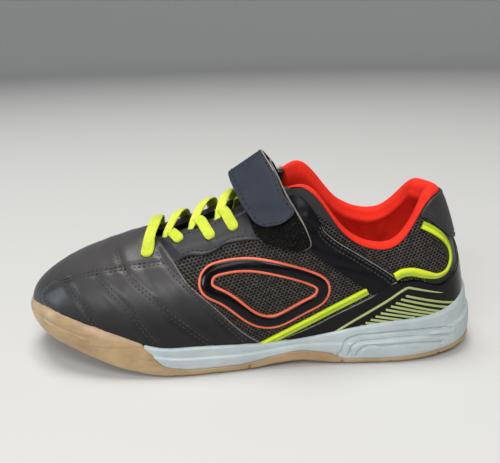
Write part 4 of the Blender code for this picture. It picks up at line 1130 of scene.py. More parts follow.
def make_frames():
    for side in SIDES:
        spots = side_loop(side, SIDE_FRAME, 220)
        middle = lifted(spots, FRAME_LIFT)
        out = normals(spots)
        sweep("side_frame_band_" + side, middle, out, dome(2 * FRAME_HALF, FRAME_HIGH, FRAME_FOOT, 15),
              [FILM], True, replaces=["side_frame_" + side])
        beside = ways(middle, out, True)[0] * (FRAME_HALF + CORAL_APART)
        for name, off in (("outer", beside), ("inner", -beside)):
            sweep("side_frame_%s_%s" % (name, side), middle + off, out,
                  dome(CORAL_WIDTH, CORAL_HIGH, CORAL_FOOT), [CORAL], True)


# Padded collar: thickness at each height of the wall, then the roll over its edge
COLLAR_START = 0.245
COLLAR_END = -0.240
COLLAR_TAPER = 0.05
COLLAR_TAPERED = 0.4
Padding = namedtuple("Padding", "rise thick")
PADDING = [Padding(0.25, 0.8), Padding(0.36, 1.2), Padding(0.47, 1.6), Padding(0.6, 2.6), Padding(0.74, 4.2),
           Padding(0.86, 6.0), Padding(0.95, 7.0)]
Roll = namedtuple("Roll", "inward up")
COLLAR_ROLL = [Roll(-0.3, 0.3), Roll(-0.3, 1.3), Roll(0.6, 2.7), Roll(3.2, 3.5), Roll(6.2, 2.6),
               Roll(7.6, 0.6)]
LINING_FOLDS = [
    Crease(0.9, 2.6, [(60, -23.5, 58), (57, -23, 48), (56, -22.5, 38)]),
    Crease(0.8, 2.2, [(52, -22.5, 58), (50, -22, 48), (50, -21.5, 38)]),
    Crease(0.7, 2.4, [(70, -23.5, 66), (66, -23.5, 54), (63, -23, 42)]),
    Crease(0.7, 2.2, [(42, -20, 60), (42, -19.5, 50), (43, -19, 40)]),
]


def make_collar():
    places = np.linspace(COLLAR_START, COLLAR_END, 260)
    from_end = np.minimum(COLLAR_START - places, places - COLLAR_END)
    full = COLLAR_TAPERED + (1 - COLLAR_TAPERED) * smooth_step(0, COLLAR_TAPER, from_end)
    behind = UPPER_WALL + GAP
    edge_spots = at_rise(places, 1.0)
    edge = lifted(edge_spots)
    out = normals(edge_spots)
    climb = unit(edge - wall(places, 0.98))
    seen = []
    for step in COLLAR_ROLL:
        inward = step.inward * np.where(step.inward < 0, 1, full)
        up = step.up * np.where(step.up < 1, 1, full)
        seen.append(edge - out * inward[:, None] + climb * up[:, None])
    for pad in PADDING[::-1]:
        seen.append(lifted(at_rise(places, pad.rise), -behind - pad.thick * full))
    seen = flowing(seen, 70)
    slope = unit(np.cross(np.gradient(seen, axis=0), np.gradient(seen, axis=1)))
    folds = [(flowing(fold.points, 40), fold.depth, fold.width) for fold in LINING_FOLDS]
    seen = seen + slope * troughs(seen, folds)[..., None]
    hidden = [lifted(at_rise(places, rise), -behind) for rise in np.linspace(PADDING[0].rise, 1, 20)]
    rows = np.concatenate([seen, hidden])
    high = np.cumsum(np.linalg.norm(np.diff(rows, axis=0, prepend=rows[:1]), axis=2).mean(1))
    uvs = np.stack(np.meshgrid(high, run(edge), indexing="ij"), -1)
    collar = piece("collar_padding", rows, tube_faces(*rows.shape[:2]), [LINING],
                   ["collar_lining"], uvs=uvs)


# Tongue: centre line from the vamp to its free top, half width and how far its sides drop.
TongueRow = namedtuple("TongueRow", "along crown half_width drop")
TONGUE_ROWS = [
    TongueRow(176, 50.0, 8, 1.6),
    TongueRow(165, 55.0, 12, 4),
    TongueRow(152, 58.0, 17, 9),
    TongueRow(138, 62.6, 19, 11),
    TongueRow(122, 69.4, 19, 12),
    TongueRow(108, 76.6, 18, 14),
    TongueRow(97, 80.4, 15, 11),
    TongueRow(91, 81.4, 9.5, 5),
]
TONGUE_THICK = 3.0
TONGUE_EDGE = 2.0
TONGUE_EDGE_THIN = 0.9


def make_tongue():
    table = flowing(TONGUE_ROWS, shares(70, 100))
    across = 2 * shares(30, 36) - 1
    along, crown, half, drop = [column[:, None] for column in table.T]
    top = np.stack(np.broadcast_arrays(along, across * half, crown - drop * across ** 2), -1)
    slope = unit(np.cross(np.gradient(top, axis=1), np.gradient(top, axis=0)))
    slope *= np.sign(slope[..., 2:])
    edge = TONGUE_EDGE_THIN * (1 - rounded(from_border(top), TONGUE_EDGE))[..., None]
    tongue = sheet("tongue_padding", top - slope * edge, top - slope * (TONGUE_THICK - edge), [TONGUE],
                   ["tongue"])


# Strap: rows from its pad on the lateral side over the instep, round the ring and back.
StrapRow = namedtuple("StrapRow", "lift front rear")
STRAP_LOWER = [
    StrapRow(1.9, (106.0, 60.6), (87.6, 57.4)),
    StrapRow(1.9, (109.0, 63.4), (84.6, 60.4)),
    StrapRow(1.9, (111.0, 67.2), (86.0, 67.0)),
    StrapRow(2.1, (112.6, 70.6), (89.6, 75.0)),
    StrapRow(None, (115.0, 14.4, 77.6), (94.6, 23.2, 82.6)),
    StrapRow(None, (117.6, 7.0, 83.0), (98.8, 13.0, 90.6)),
    StrapRow(None, (118.4, 0.0, 85.2), (101.4, 2.6, 94.6)),
    StrapRow(None, (117.4, -5.4, 83.0), (99.6, -6.2, 91.6)),
]
STRAP_UPPER = [
    StrapRow(None, (120.2, -7.0, 86.8), (103.6, -7.6, 96.6)),
    StrapRow(None, (122.6, 0.4, 89.6), (106.2, 1.4, 100.6)),
    StrapRow(None, (122.0, 7.6, 88.2), (104.6, 9.8, 99.0)),
    StrapRow(None, (118.6, 15.6, 82.0), (100.2, 18.8, 92.4)),
    StrapRow(None, (116.0, 18.6, 77.2), (97.0, 26.6, 84.0)),
    StrapRow(5.6, (109.2, 68.0), (90.4, 75.0)),
    StrapRow(5.6, (106.4, 65.2), (93.4, 70.0)),
]
STRAP_STEPS = np.linspace(0, 1, 5)
STRAP_THICK = 1.2
STRAP_EDGE = 0.8
STRAP_EDGE_THIN = 0.3
SEAM_IN = 1.7
SEAM_HALF = 0.7
STRAP_END_ROUND = 5.0
STRAP_STITCH_LIFT = 0.05
STRAP_PALE_UNTIL = 0.62
PAD_ROUND = 3.5
PILE_SEED = 7
PILE_HIGH = 0.4
PILE_START = 0.6
PILE_FULL = 1.4
RING_WIRE = 1.1
RING_FRONT = np.array([115.8, -9.0, 80.6])
RING_REAR = np.array([98.2, -10.4, 88.2])
RING_PAST_STRAP = 2.0
RING_SLOT = 5.6
RING_CORNER = 2.0
RING_LONG = unit(RING_REAR - RING_FRONT)
TAB_WIDTH = 13.0
TAB_THICK = 1.0
TAB_FOOT = 16.0
TAB_LIFT = 1.8


def square_to_ring(vector):
    """Unit way nearest to a vector that is square to the ring's long bars."""
    vector = np.array(vector)
    return unit(vector - RING_LONG * (vector @ RING_LONG))


STRAP_PULL = square_to_ring([-0.35, -0.66, -0.66])
RING_LIE = square_to_ring([-0.2, -0.93, -0.2])


def strap_points(row):
    """Points across the strap at one of its rows."""
    line = between(row.front, row.rear, STRAP_STEPS)
    if row.lift is None:
        return line
    return lifted(find_spots(line, "lateral", [0, 2]), row.lift)


def turn_points(front, rear, away, radius, degrees):
    """Rows round a bar of the ring, from under it to over it; away is the way that it pulls."""
    over = np.cross(RING_LONG, away)
    rows = []
    for angle in np.radians(degrees):
        off = (away * np.cos(angle) + over * np.sin(angle)) * radius
        rows.append(between(front + off, rear + off, STRAP_STEPS))
    return rows


def ribbon(name, rows, thick, outside, materials, replaces, long, wide, dip=0.0, ends=(0.0, 0.0),
           pile=0.0, dense=1.25, pale_until=1.0):
    """Closed strip through rows of points across it; returns its outer face and the way up from it.

    The corners of its ends may be rounded and its face may have a rough pile.
    """
    grid = flowing(np.array(rows), shares(int(long * dense), long))
    grid = np.swapaxes(flowing(np.swapaxes(grid, 0, 1), shares(int(wide * dense), wide)), 0, 1)
    grid = round_corners(grid, ends)
    way = unit(np.cross(np.gradient(grid, axis=1), np.gradient(grid, axis=0)))
    border = from_border(grid)
    soft = STRAP_EDGE_THIN * (1 - rounded(border, STRAP_EDGE))
    soft += dip * np.exp(-((border - SEAM_IN) / SEAM_HALF) ** 2)
    if pile:
        tufts = np.random.default_rng(PILE_SEED).uniform(0, 1, border.shape)
        soft += pile * tufts * smooth_step(PILE_START, PILE_FULL, border)
    if outside:
        top, under = grid + way * (thick - soft)[..., None], grid
    else:
        top, under = grid + way * soft[..., None], grid + way * thick
    pale = beside_border(*top.shape[:2], last=2)
    pale[int(len(pale) * pale_until):] = False
    sheet(name, top, under, materials, replaces, pale=pale, thin=4)
    return top, way if outside else -way


def round_corners(grid, radii):
    """Grid of a strip whose corners at its first and last row are rounded."""
    far = run(grid[:, grid.shape[1] // 2])
    made = grid.copy()
    for radius, distance in zip(radii, (far, far[-1] - far)):
        for row in np.flatnonzero(distance < radius):
            across = run(grid[row])
            half = across[-1] / 2
            cut = radius - np.sqrt(radius ** 2 - (radius - distance[row]) ** 2)
            made[row] = read_off(half + (across - half) * (half - cut) / half, across, grid[row])
    return made


def stitch_round(top, way, inset, **sizes):
    """Navy stitches along both long edges of a strip and across its far end."""
    across = run(top[len(top) // 2])
    along = run(top[:, top.shape[1] // 2])
    low, high = np.searchsorted(across, (inset, across[-1] - inset))
    last = np.searchsorted(along, along[-1] - inset)
    points = top + way * STRAP_STITCH_LIFT
    for column in (low, high):
        stitch("navy", points[:last + 1, column], way[:last + 1, column], **sizes)
    stitch("navy", points[last, low:high + 1], way[last, low:high + 1], **sizes)


def make_strap():
    turn = turn_points(RING_FRONT, RING_REAR, STRAP_PULL, RING_WIRE + GAP + STRAP_THICK,
                       (-90, -45, 0, 45, 90))
    lower = [strap_points(row) for row in STRAP_LOWER] + turn[:3]
    upper = turn[2:] + [strap_points(row) for row in STRAP_UPPER]
    ribbon("strap_lower", lower, STRAP_THICK, True, [PILE, CUT_EDGE], ["strap"], 60, 25,
           ends=(PAD_ROUND, 0.0), pile=PILE_HIGH, dense=2.6)
    top, way = ribbon("strap_upper", upper, STRAP_THICK, False, [STRAP_LEATHER, CUT_EDGE], ["strap"], 50, 20,
                      dip=0.12, ends=(0.0, STRAP_END_ROUND), pale_until=STRAP_PALE_UNTIL)
    stitch_round(top, way, 1.9, step=2.7, length=1.8, radius=0.36)


def make_ring():
    half_long = np.linalg.norm(RING_REAR - RING_FRONT) / 2 + RING_PAST_STRAP
    half_wide = RING_SLOT / 2
    middle = (RING_FRONT + RING_REAR) / 2 + RING_LIE * half_wide
    path = []
    for sign_long, sign_wide, start in ((1, 1, 0), (-1, 1, 90), (-1, -1, 180), (1, -1, 270)):
        for angle in np.radians(np.linspace(start, start + 90, 9)):
            along = sign_long * (half_long - RING_CORNER) + RING_CORNER * np.cos(angle)
            wide = sign_wide * (half_wide - RING_CORNER) + RING_CORNER * np.sin(angle)
            path.append(middle + RING_LONG * along + RING_LIE * wide)
    path = np.array(path)
    angles = np.linspace(0, 2 * np.pi, 12, endpoint=False)
    profile = np.stack([np.cos(angles), np.sin(angles)], -1) * RING_WIRE
    out = np.broadcast_to(np.cross(RING_LONG, RING_LIE), path.shape)
    sweep("ring_wire", path, out, profile, [RING], True, replaces=["strap_ring"])


def make_ring_tab():
    middle = (RING_FRONT + RING_REAR) / 2 + RING_LIE * RING_SLOT
    front = middle - RING_LONG * TAB_WIDTH / 2
    rear = middle + RING_LONG * TAB_WIDTH / 2
    rows = turn_points(front, rear, RING_LIE, RING_WIRE + GAP, (230, 180, 130, 80, 30))
    for down in (0.5, 1.0):
        line = between(front, rear, STRAP_STEPS) - UP * TAB_FOOT * down
        rows.append(lifted(find_spots(line[:, [0, 2]], "medial", [0, 2]), TAB_LIFT))
    top, way = ribbon("ring_tab_loop", rows, TAB_THICK, True, [NAVY_LEATHER, CUT_EDGE], ["ring_tab"], 26, 13)
    stitch_round(top, way, 1.7)


# Laces: each strip's centre line over the tongue; rounded ends lie on the leather at the holes
LACE_WIDTH = 6.2
TAB_NARROW = 0.86
LACE_THICK = 1.5
LACE_RIBS = 8
LACE_RIB_HIGH = 0.13
LACE_RIB_STEPS = 4
LACE_EDGE = 0.02
LACE_ROUND = 2.8
LACE_OFF = 2.0
LACE_SINK = 1.2
LACE_TIP = 0.3
LACE_FINE = (0.0, 0.1, 0.3, 0.7, 1.3, 2.0)
THROAT_UP = np.array([0.42, 0.0, 0.91])
VAMP_UP = np.array([0.2, 0.0, 0.98])
LACE_HOLES = [(161.8, 20.8, 52.8), (145.2, 16.4, 58.5), (130.0, 19.6, 60.7), (118.9, 18.6, 64.7)]
LACE_BAR = [(161.2, 14, 60.3), (160.2, 6, 64.2), (159.8, 0, 65.4), (159.8, -6, 65.4), (160.4, -14, 61.6)]
LACE_OVER = [
    [(156.4, 9.0, 55.0), (154.0, 7.4, 60.0), (151.2, 2, 65.0), (148.6, -5, 68.0), (147.0, -10.5, 66.6)],
    [(143.0, 9.6, 59.0), (140.8, 8.0, 64.6), (138.0, 2, 70.2), (135.0, -5, 73.4), (132.6, -11, 72.4)],
    [(129.6, 9.8, 64.0), (127.6, 8.2, 69.6), (125.4, 2, 75.4), (123.0, -5, 78.2), (121.2, -11, 76.6)],
]
LACE_TABS = [
    [(153.0, 1.0, 60.0), (152.2, 5.0, 61.2), (150.2, 10.0, 61.8)],
    [(139.8, 1.0, 66.2), (138.6, 5.4, 67.6), (136.2, 10.4, 67.8)],
    [(127.6, 1.0, 71.0), (126.2, 5.4, 72.2), (124.2, 10.6, 72.0)],
]
LACE_END = [(119.4, -10.0, 69.0), (118.0, -7.0, 74.4), (116.0, -2, 76.6), (113.6, 5, 78.4),
            (111.6, 10.6, 78.4), (110.8, 12.6, 75.0)]


def lace_profile():
    """Ribbed top and plain underside of the flat lace."""
    beside = np.linspace(-1, 1, LACE_RIBS * LACE_RIB_STEPS + 1)
    ribs = LACE_RIB_HIGH * np.cos(beside * np.pi * LACE_RIBS)
    round_edge = np.sqrt(np.maximum(1 - np.abs(beside) ** 6, 0))
    top = np.stack([beside * LACE_WIDTH / 2, (LACE_THICK / 2 + ribs) * round_edge + LACE_EDGE], -1)
    under = np.stack([beside[::-1] * LACE_WIDTH / 2, -LACE_THICK / 2 * round_edge - LACE_EDGE], -1)
    return np.concatenate([top, under[LACE_RIB_STEPS:-LACE_RIB_STEPS:LACE_RIB_STEPS]])


def lace_tail(start, side, hole):
    """Points and ways up of the end of a strip that lies on the leather as far as a hole."""
    mirror = np.array([1.0, 1.0 if side == "lateral" else -1.0, 1.0])
    spots = find_spots(between(start, hole * mirror, (0.5, 0.8, 1.0)), side, [0, 1, 2])
    return np.concatenate([lifted(spots, LACE_OFF), normals(spots)], axis=1)


def lace_strip(name, points, way, replaces, start_hole=None, end_hole=None, width=1.0):
    """Ribbed strip; an end with a hole, a pair of side and place, narrows and dips into it."""
    points = np.array(points, dtype=float)
    rows = np.concatenate([points, np.broadcast_to(way, points.shape)], axis=1)
    if start_hole is not None:
        rows = np.concatenate([lace_tail(points[0], *start_hole)[::-1], rows])
    if end_hole is not None:
        rows = np.concatenate([rows, lace_tail(points[-1], *end_hole)])
    path = flowing(rows, shares(50, 30, LACE_FINE))
    middle = path[:, :3]
    far = run(middle)
    wide = np.full(len(middle), width)
    for hole, distance in ((start_hole, far), (end_hole, far[-1] - far)):
        if hole is not None:
            wide = wide * (LACE_TIP + (1 - LACE_TIP) * rounded(distance, LACE_ROUND))
    beside, over = ways(middle, unit(path[:, 3:]))
    profile = lace_profile()[:, :, None, None]
    sink = LACE_SINK * (1 - wide / width)
    rows = middle + profile[:, 0] * beside * wide[:, None] + (profile[:, 1] - sink[:, None]) * over
    piece(name, rows, tube_faces(*rows.shape[:2]), [LACE], replaces)


def make_laces():
    lateral, medial = [[(side, hole) for hole in LACE_HOLES] for side in SIDES]
    lace_strip("lace_bar", LACE_BAR, VAMP_UP, ["lace_bar_front"], lateral[0], medial[0])
    lace_strip("lace_tail", LACE_END, THROAT_UP, ["lace_end"])
    for number, (over, tab) in enumerate(zip(LACE_OVER, LACE_TABS), 1):
        replaces = ["lace_cross_%d" % number]
        lace_strip("lace_over_%d" % number, over, THROAT_UP, replaces, None, medial[number])
        lace_strip("lace_tab_%d" % number, tab, THROAT_UP, replaces, None, lateral[number], TAB_NARROW)


# Sole: the side of the midsole as a share of its height, set in from the outline
SideStep = namedtuple("SideStep", "share forefoot heel")
MIDSOLE_SIDE = [
    SideStep(0.00, 0.7, 0.5),
    SideStep(0.06, 0.15, 0.1),
    SideStep(0.14, 0.0, 0.0),
    SideStep(0.34, 0.0, 0.0),
    SideStep(0.50, 0.1, 0.2),
    SideStep(0.55, 1.1, 1.1),
    SideStep(0.60, 1.25, 1.25),
    SideStep(0.80, 1.2, 1.2),
    SideStep(0.93, 1.3, 1.35),
    SideStep(1.00, 2.0, 2.0),
]
HEEL_PANEL_END = 72.0
HEEL_PANEL_BLEND = 4.0
HEEL_KICK = 2.5
HEEL_KICK_END = 16.0
WRAP_START = 151.0
WRAP_END = 165.0
GUM_WALL = 4.5
HEEL_GROOVES = [
    Crease(1.0, 0.7, [(71, 5), (69.4, 7.5), (67.1, 12.0), (64.7, 13.5), (51.4, 15.2), (40.9, 16.0),
                      (27, 16.1), (14.4, 15.2)]),
    Crease(0.95, 0.6, [(66.2, 5), (65.5, 6.9), (64.1, 10.0), (62.2, 10.8), (51.3, 12.1), (36.9, 13.0),
                       (25, 13.0), (15.3, 11.6)]),
    Crease(0.95, 0.6, [(62, 5), (61.2, 6.6), (60.0, 7.9), (46.4, 9.5), (31.6, 9.9), (19.5, 8.8)]),
]
GumEdge = namedtuple("GumEdge", "inset up")
GUM_EDGE = [GumEdge(4.0, 0.0), GumEdge(2.4, 0.05), GumEdge(1.2, 0.3), GumEdge(0.4, 0.9), GumEdge(0.0, 1.6)]
TREAD_GROOVES = [21.3, 45, 68.8, 113.7, 131, 148, 166]
SIDE_CUTS = [21.3, 68.8, 113.7]
SIDE_CUT_DEPTH = 0.8
SIDE_CUT_WIDTH = 0.5
SIDE_CUT_UP = 3.2
TOE_LINE = (192, 224)
TOE_LINE_SHARE = 0.62
TOE_LINE_WIDTH = 0.035
TOE_LINE_DEPTH = 0.35
TOE_LEAN = 2.6
TOE_ROUND_FROM = (170, 205)
TOE_ROUND_UP = 7.0
TOE_ROUND_IN = 4.0
TOE_TIP_FROM = (208, 228)
TOE_TIP_IN = 1.2
BEHIND_TOE = 2.0
LIP_DROP_AT_TOE = 1.4
LIP_OFF = 0.15
LIP_RISE_LOST = 0.05
INSIDE_RISE = 0.4
INSIDE_OFF = 0.1
BED_INSET = GUM_WALL + 6
GUM_INSIDE = GUM_WALL + 2
SOLE_COLUMNS = 900
FINE_COLUMNS = 8000
WRAP_EDGE = 158
WRAP_EDGE_WIDTH = 8
HEEL_DENSE_END = (72, 80)
GROOVE_WIDTH = 2.2
GROOVE_DEPTH = 1.2
WAVE_LONG = 4.4
WAVE_DEPTH = 0.3
WAVE_FROM = (0.55, 0.8)
INSOLE_GAP = 0.8
INSOLE_DISH = 0.8
INSOLE_EDGE = 1.5
DISH_FROM = (3, 16)


def sole_places():
    """Places round the sole, closer together at the heel, the cuts and the rear edge of the toe wrap."""
    fine = np.linspace(0, 1, FINE_COLUMNS, endpoint=False)
    along = outline(fine)[:, 0]
    weight = 2 - smooth_step(*HEEL_DENSE_END, along)
    weight += 1.5 * np.exp(-((along - WRAP_EDGE) / WRAP_EDGE_WIDTH) ** 2)
    for cut in SIDE_CUTS:
        weight += 4 * np.exp(-((along - cut) / 1.5) ** 2)
    far = np.cumsum(weight)
    return np.interp(np.linspace(0, far[-1], SOLE_COLUMNS, endpoint=False), far, fine)


SOLE_PLACES = sole_places()
ALONG = outline(SOLE_PLACES)[:, 0]
LIP = LOOP(SOLE_PLACES)[:, 3]
BASE = LOOP(SOLE_PLACES)[:, 2]
SEAT = TREAD_BAND(ALONG)
UNDER = TREAD_UNDER(ALONG)
WRAP = smooth_step(WRAP_START, WRAP_END, ALONG)
GUM_TOP = SEAT + (LIP - SEAT) * WRAP
LIP_RISE = lip_rise(SOLE_PLACES)
LIP_SPOTS = at_rise(SOLE_PLACES, LIP_RISE)


def ring(inset, up):
    """Ring of points round the sole, set in from its outline, at a height."""
    inset = np.broadcast_to(np.asarray(inset, dtype=float), SOLE_PLACES.shape)
    return at_height(outline(SOLE_PLACES, inset), up)


def ladder(row, columns):
    """Faces straight across the shoe between the columns of one row."""
    faces = []
    for column in range(columns // 2):
        corners = np.array([column, column + 1, columns - column - 1, -column % columns]) + row * columns
        faces.append(tuple(dict.fromkeys(corners)))
    return faces


def sole_piece(name, rows, material, replaces):
    """Solid of rings round the sole, with its first and last ring filled straight across."""
    rows = np.array(rows)
    columns = len(SOLE_PLACES)
    faces = list(grid_faces(len(rows), columns, False, True))
    faces += ladder(0, columns) + ladder(len(rows) - 1, columns)
    piece(name, rows, faces, [material], replaces)


def across_sole(edge, steps, every):
    """Grid of points straight across the sole, between the two halves of a ring round it."""
    half = len(edge) // 2 + 1
    lateral = edge[:half][every:-every:every]
    medial = np.roll(edge[::-1], 1, axis=0)[:half][every:-every:every]
    return np.swapaxes(between(lateral, medial, steps), 0, 1)


def in_grooves(along):
    """1 in the middle of a cross groove of the tread, 0 away from it."""
    return sum(np.exp(-((along - groove) / (GROOVE_WIDTH / 2)) ** 6) for groove in TREAD_GROOVES)


def side_inset(share):
    """How far the midsole's side is set in, at shares of its height."""
    heel = 1 - smooth_step(HEEL_PANEL_END - HEEL_PANEL_BLEND, HEEL_PANEL_END + HEEL_PANEL_BLEND, ALONG)
    kick = HEEL_KICK * (1 - smooth_step(0, HEEL_KICK_END, ALONG))
    heights, front, back = np.array(MIDSOLE_SIDE).T
    forefoot = np.interp(share, heights, front)
    rear = np.interp(share, heights, back)
    return forefoot + (rear - forefoot) * heel + kick * share ** 2


def make_midsole():
    at_toe = smooth_step(0.9, 1, WRAP)
    lip = LIP - LIP_DROP_AT_TOE * at_toe
    foot = np.minimum(GUM_TOP + 0.05, lip - 0.02)
    side_shares = np.unique(np.concatenate([np.linspace(0, 1, 34), [step.share for step in MIDSOLE_SIDE]]))
    rows = [ring(BED_INSET, SEAT + 1), ring(GUM_WALL, np.minimum(SEAT + 1, foot))]
    grooves = [(groove, np.insert(flowing(groove.points, 200), 1, 0.0, axis=1)) for groove in HEEL_GROOVES]
    for share in side_shares:
        up = foot + (lip - foot) * share
        inset = side_inset(np.maximum(share, (up - SEAT) / np.maximum(lip - SEAT, 0.1)))
        seen = np.stack([ALONG, np.zeros_like(up), up], -1)
        for groove, line in grooves:
            inset = inset + groove.depth * np.exp(-(distance_to(seen, line) / groove.width) ** 4)
        rows.append(ring(inset + BEHIND_TOE * at_toe, up))
    spots = LIP_SPOTS - at_rise(0.0, LIP_RISE_LOST * at_toe)
    rows.append((rows[-1] + lifted(spots, 0.2)) / 2 + UP * 0.15)
    rows.append(lifted(spots, LIP_OFF))
    rows.append(lifted(at_rise(SOLE_PLACES, LIP_RISE * INSIDE_RISE), INSIDE_OFF))
    rows.append(ring(BED_INSET, BASE - GAP))
    sole_piece("midsole_side", rows, FOAM, ["midsole"])


def toe_round(up):
    """How far the gum's rounded lower edge at the toe is set in, at a height above its underside."""
    short = 1 - np.clip(up / TOE_ROUND_UP, 0, 1)
    under = TOE_ROUND_IN * (1 - np.sqrt(np.maximum(1 - short ** 2, 0)))
    return under * smooth_step(*TOE_ROUND_FROM, ALONG) + TOE_TIP_IN * smooth_step(*TOE_TIP_FROM, ALONG)


def make_outsole():
    notch = in_grooves(ALONG)
    rows = [ring(inset + toe_round(0.0), UNDER + GROOVE_DEPTH) for inset in (GUM_INSIDE, 4.2)]
    for edge in GUM_EDGE:
        cut = notch * max(0, 1.3 - edge.up)
        rows.append(ring(edge.inset + cut * 0.8 + toe_round(edge.up), UNDER + edge.up + cut * 0.6))
    low = UNDER + GUM_EDGE[-1].up
    cuts = sum(np.exp(-((ALONG - along) / SIDE_CUT_WIDTH) ** 2) for along in SIDE_CUTS)
    first, last = TOE_LINE
    line_share = TOE_LINE_DEPTH * smooth_step(first - 6, first, ALONG) * smooth_step(last + 4, last, ALONG)
    for share in np.linspace(0, 1, 30)[1:]:
        up = low + (GUM_TOP - low) * share
        toe = toe_round(up - UNDER) + TOE_LEAN * share ** 4
        side = 0.15 * share + 0.5 * share ** 8
        line = line_share * np.exp(-((share - TOE_LINE_SHARE) / TOE_LINE_WIDTH) ** 2)
        cut = SIDE_CUT_DEPTH * cuts * smooth_step(SIDE_CUT_UP, SIDE_CUT_UP - 0.6, up - UNDER)
        rows.append(ring(side * (1 - WRAP) + toe * WRAP + line + cut, up))
    at_toe = (WRAP > 0.98)[:, None]
    lip_row = lifted(LIP_SPOTS, LIP_OFF)
    over_lip = (rows[-1] + lip_row) / 2 + UP * 0.12
    inner = lifted(at_rise(SOLE_PLACES, LIP_RISE * INSIDE_RISE), INSIDE_OFF)
    rows.append(np.where(at_toe, over_lip, ring(2.0, GUM_TOP)))
    rows.append(np.where(at_toe, lip_row, ring(3.0, GUM_TOP)))
    rows.append(np.where(at_toe, inner, ring(3.8, GUM_TOP - 0.1)))
    rows.append(ring(GUM_INSIDE, np.minimum(SEAT + 0.5, BASE - 1)))
    sole_piece("outsole_side", rows, GUM, ["outsole"])


def make_tread():
    """Underside of the gum: blocks between the cross grooves, with fine waves."""
    flat = across_sole(ring(4.1 + toe_round(0.0), UNDER), shares(46, 70)[1:-1], 1)
    along = flat[..., 0]
    wave = 0.5 + 0.5 * np.sin((along + 1.2 * np.sin(flat[..., 1] * 0.9)) * 2 * np.pi / WAVE_LONG)
    depth = np.maximum(0.85 * GROOVE_DEPTH * in_grooves(along), WAVE_DEPTH * smooth_step(*WAVE_FROM, wave))
    sheet("outsole_tread", flat + UP * depth[..., None], flat + UP * (GROOVE_DEPTH + 0.3), [GUM],
          ["outsole"], thin=6)


def make_insole():
    edge = ring(WALL_INSET + UPPER_WALL + INSOLE_GAP, BASE + GAP + INSOLE_THICK)
    flat = across_sole(edge, shares(24, 50), 3)
    border = from_border(flat)
    dish = INSOLE_DISH * (1 - rounded(border, INSOLE_EDGE) + smooth_step(*DISH_FROM, border))
    sheet("insole_bed", flat - UP * dish[..., None], flat - UP * INSOLE_THICK, [INSOLE], ["insole"],
          uvs=flat[..., :2].copy())


make_shell()
make_vamp()
make_mesh_cloth()
make_eyestays()
make_bands()
make_heel()
make_heel_lines()
make_piping()
make_frames()
make_collar()
make_tongue()
make_strap()
make_ring()
make_ring_tab()
make_laces()
make_midsole()
make_outsole()
make_tread()
make_insole()
make_stitches("dark", THREAD)
make_stitches("navy", NAVY_THREAD)
make_stitches("lime", LIME_THREAD)


# Floor that curves up into a pale wall all round, light and camera; sizes in metres
FLOOR_MIDDLE = 0.3
FLOOR_FLAT = 3.0
FLOOR_BEND = 1.0
FLOOR_HIGH = 2.2
FLOOR_COLOUR = (0.56, 0.56, 0.55)
SKY_COLOUR = (0.82, 0.88, 0.96, 1)
SKY_POWER = 0.18
Lamp = namedtuple("Lamp", "name place aim size power colour")
LAMPS = [
    Lamp("overhead", (-0.20, 0.25, 2.20), (0, 0, 0.03), 1.10, 40.0, (1.0, 0.97, 0.93)),
    Lamp("left_window", (-1.05, -1.80, 1.05), (-0.06, 0, 0.05), 0.70, 20.0, (0.97, 0.98, 1.0)),
    Lamp("front_fill", (0.20, -1.50, 1.85), (0, 0, 0.05), 1.00, 27.0, (1.0, 0.98, 0.96)),
    Lamp("toe_side", (-2.20, -0.15, 0.45), (-0.10, 0, 0.04), 0.70, 13.0, (0.68, 0.85, 1.0)),
]


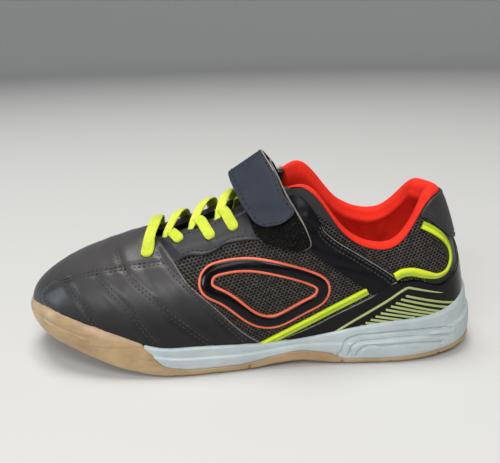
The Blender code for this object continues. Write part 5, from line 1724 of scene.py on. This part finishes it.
def make_stage():
    mesh = bpy.data.meshes.new("floor")
    turn = np.linspace(0, np.pi / 2, 16)
    far = np.concatenate([[FLOOR_MIDDLE], FLOOR_FLAT + FLOOR_BEND * np.sin(turn), [FLOOR_FLAT + FLOOR_BEND]])
    high = np.concatenate([[0.0], FLOOR_BEND * (1 - np.cos(turn)), [FLOOR_HIGH]])
    angles = np.linspace(0, 2 * np.pi, 96, endpoint=False)
    rings = np.stack([far[:, None] * np.cos(angles), far[:, None] * np.sin(angles),
                      np.broadcast_to(high[:, None], (len(far), len(angles)))], -1)
    faces = [tuple(map(int, face[::-1])) for face in grid_faces(len(far), len(angles), False, True)]
    mesh.from_pydata(rings.reshape(-1, 3).tolist(), [], faces + [tuple(range(len(angles)))])
    mesh.shade_smooth()
    mesh.materials.append(new_material("floor_paint", FLOOR_COLOUR, 0.5))
    floor = bpy.data.objects.new("floor", mesh)
    bpy.context.scene.collection.objects.link(floor)
    world = bpy.data.worlds.new("studio")
    world.use_nodes = True
    sky = world.node_tree.nodes["Background"]
    sky.inputs["Color"].default_value = SKY_COLOUR
    sky.inputs["Strength"].default_value = SKY_POWER
    bpy.context.scene.world = world
    bpy.context.scene.view_settings.view_transform = "Standard"


def make_lamps():
    for lamp in LAMPS:
        light = bpy.data.lights.new(lamp.name, "AREA")
        light.size = lamp.size
        light.energy = lamp.power
        light.color = lamp.colour
        item = bpy.data.objects.new(lamp.name, light)
        bpy.context.scene.collection.objects.link(item)
        way = unit(np.array(lamp.aim) - np.array(lamp.place))
        right = unit(np.cross(way, [0, 0, 1.0]))
        place_object(item, lamp.place, right, np.cross(right, way), way)


def place_object(item, place, right, up, way):
    """Set an object that looks along way."""
    columns = np.eye(4)
    columns[:3, 0] = right
    columns[:3, 1] = up
    columns[:3, 2] = -np.asarray(way)
    columns[:3, 3] = place
    item.matrix_world = Matrix(columns.tolist())


# Camera fitted to the sole's outline in the photograph, in shoe millimetres and degrees
FOCAL_PIXELS = 600.0
IMAGE_WIDTH = 500.0
CAMERA_PLACE = (109.9, 289.7, 150.6)
PITCH, ROLL, YAW = np.radians((17.66, -1.35, -0.51))


def make_camera():
    camera = bpy.data.cameras.new("camera")
    camera.sensor_width = 36.0
    camera.lens = camera.sensor_width * FOCAL_PIXELS / IMAGE_WIDTH
    camera.clip_start = 0.01
    item = bpy.data.objects.new("camera", camera)
    bpy.context.scene.collection.objects.link(item)
    way = np.array([np.sin(YAW) * np.cos(PITCH), np.cos(YAW) * np.cos(PITCH), -np.sin(PITCH)])
    level = np.array([np.cos(YAW), -np.sin(YAW), 0.0])
    above = np.cross(level, way)
    right = level * np.cos(ROLL) + above * np.sin(ROLL)
    up = above * np.cos(ROLL) - level * np.sin(ROLL)
    place_object(item, to_world(CAMERA_PLACE), right, up, way)
    bpy.context.scene.camera = item


make_stage()
make_lamps()
make_camera()
bpy.context.view_layer.update()
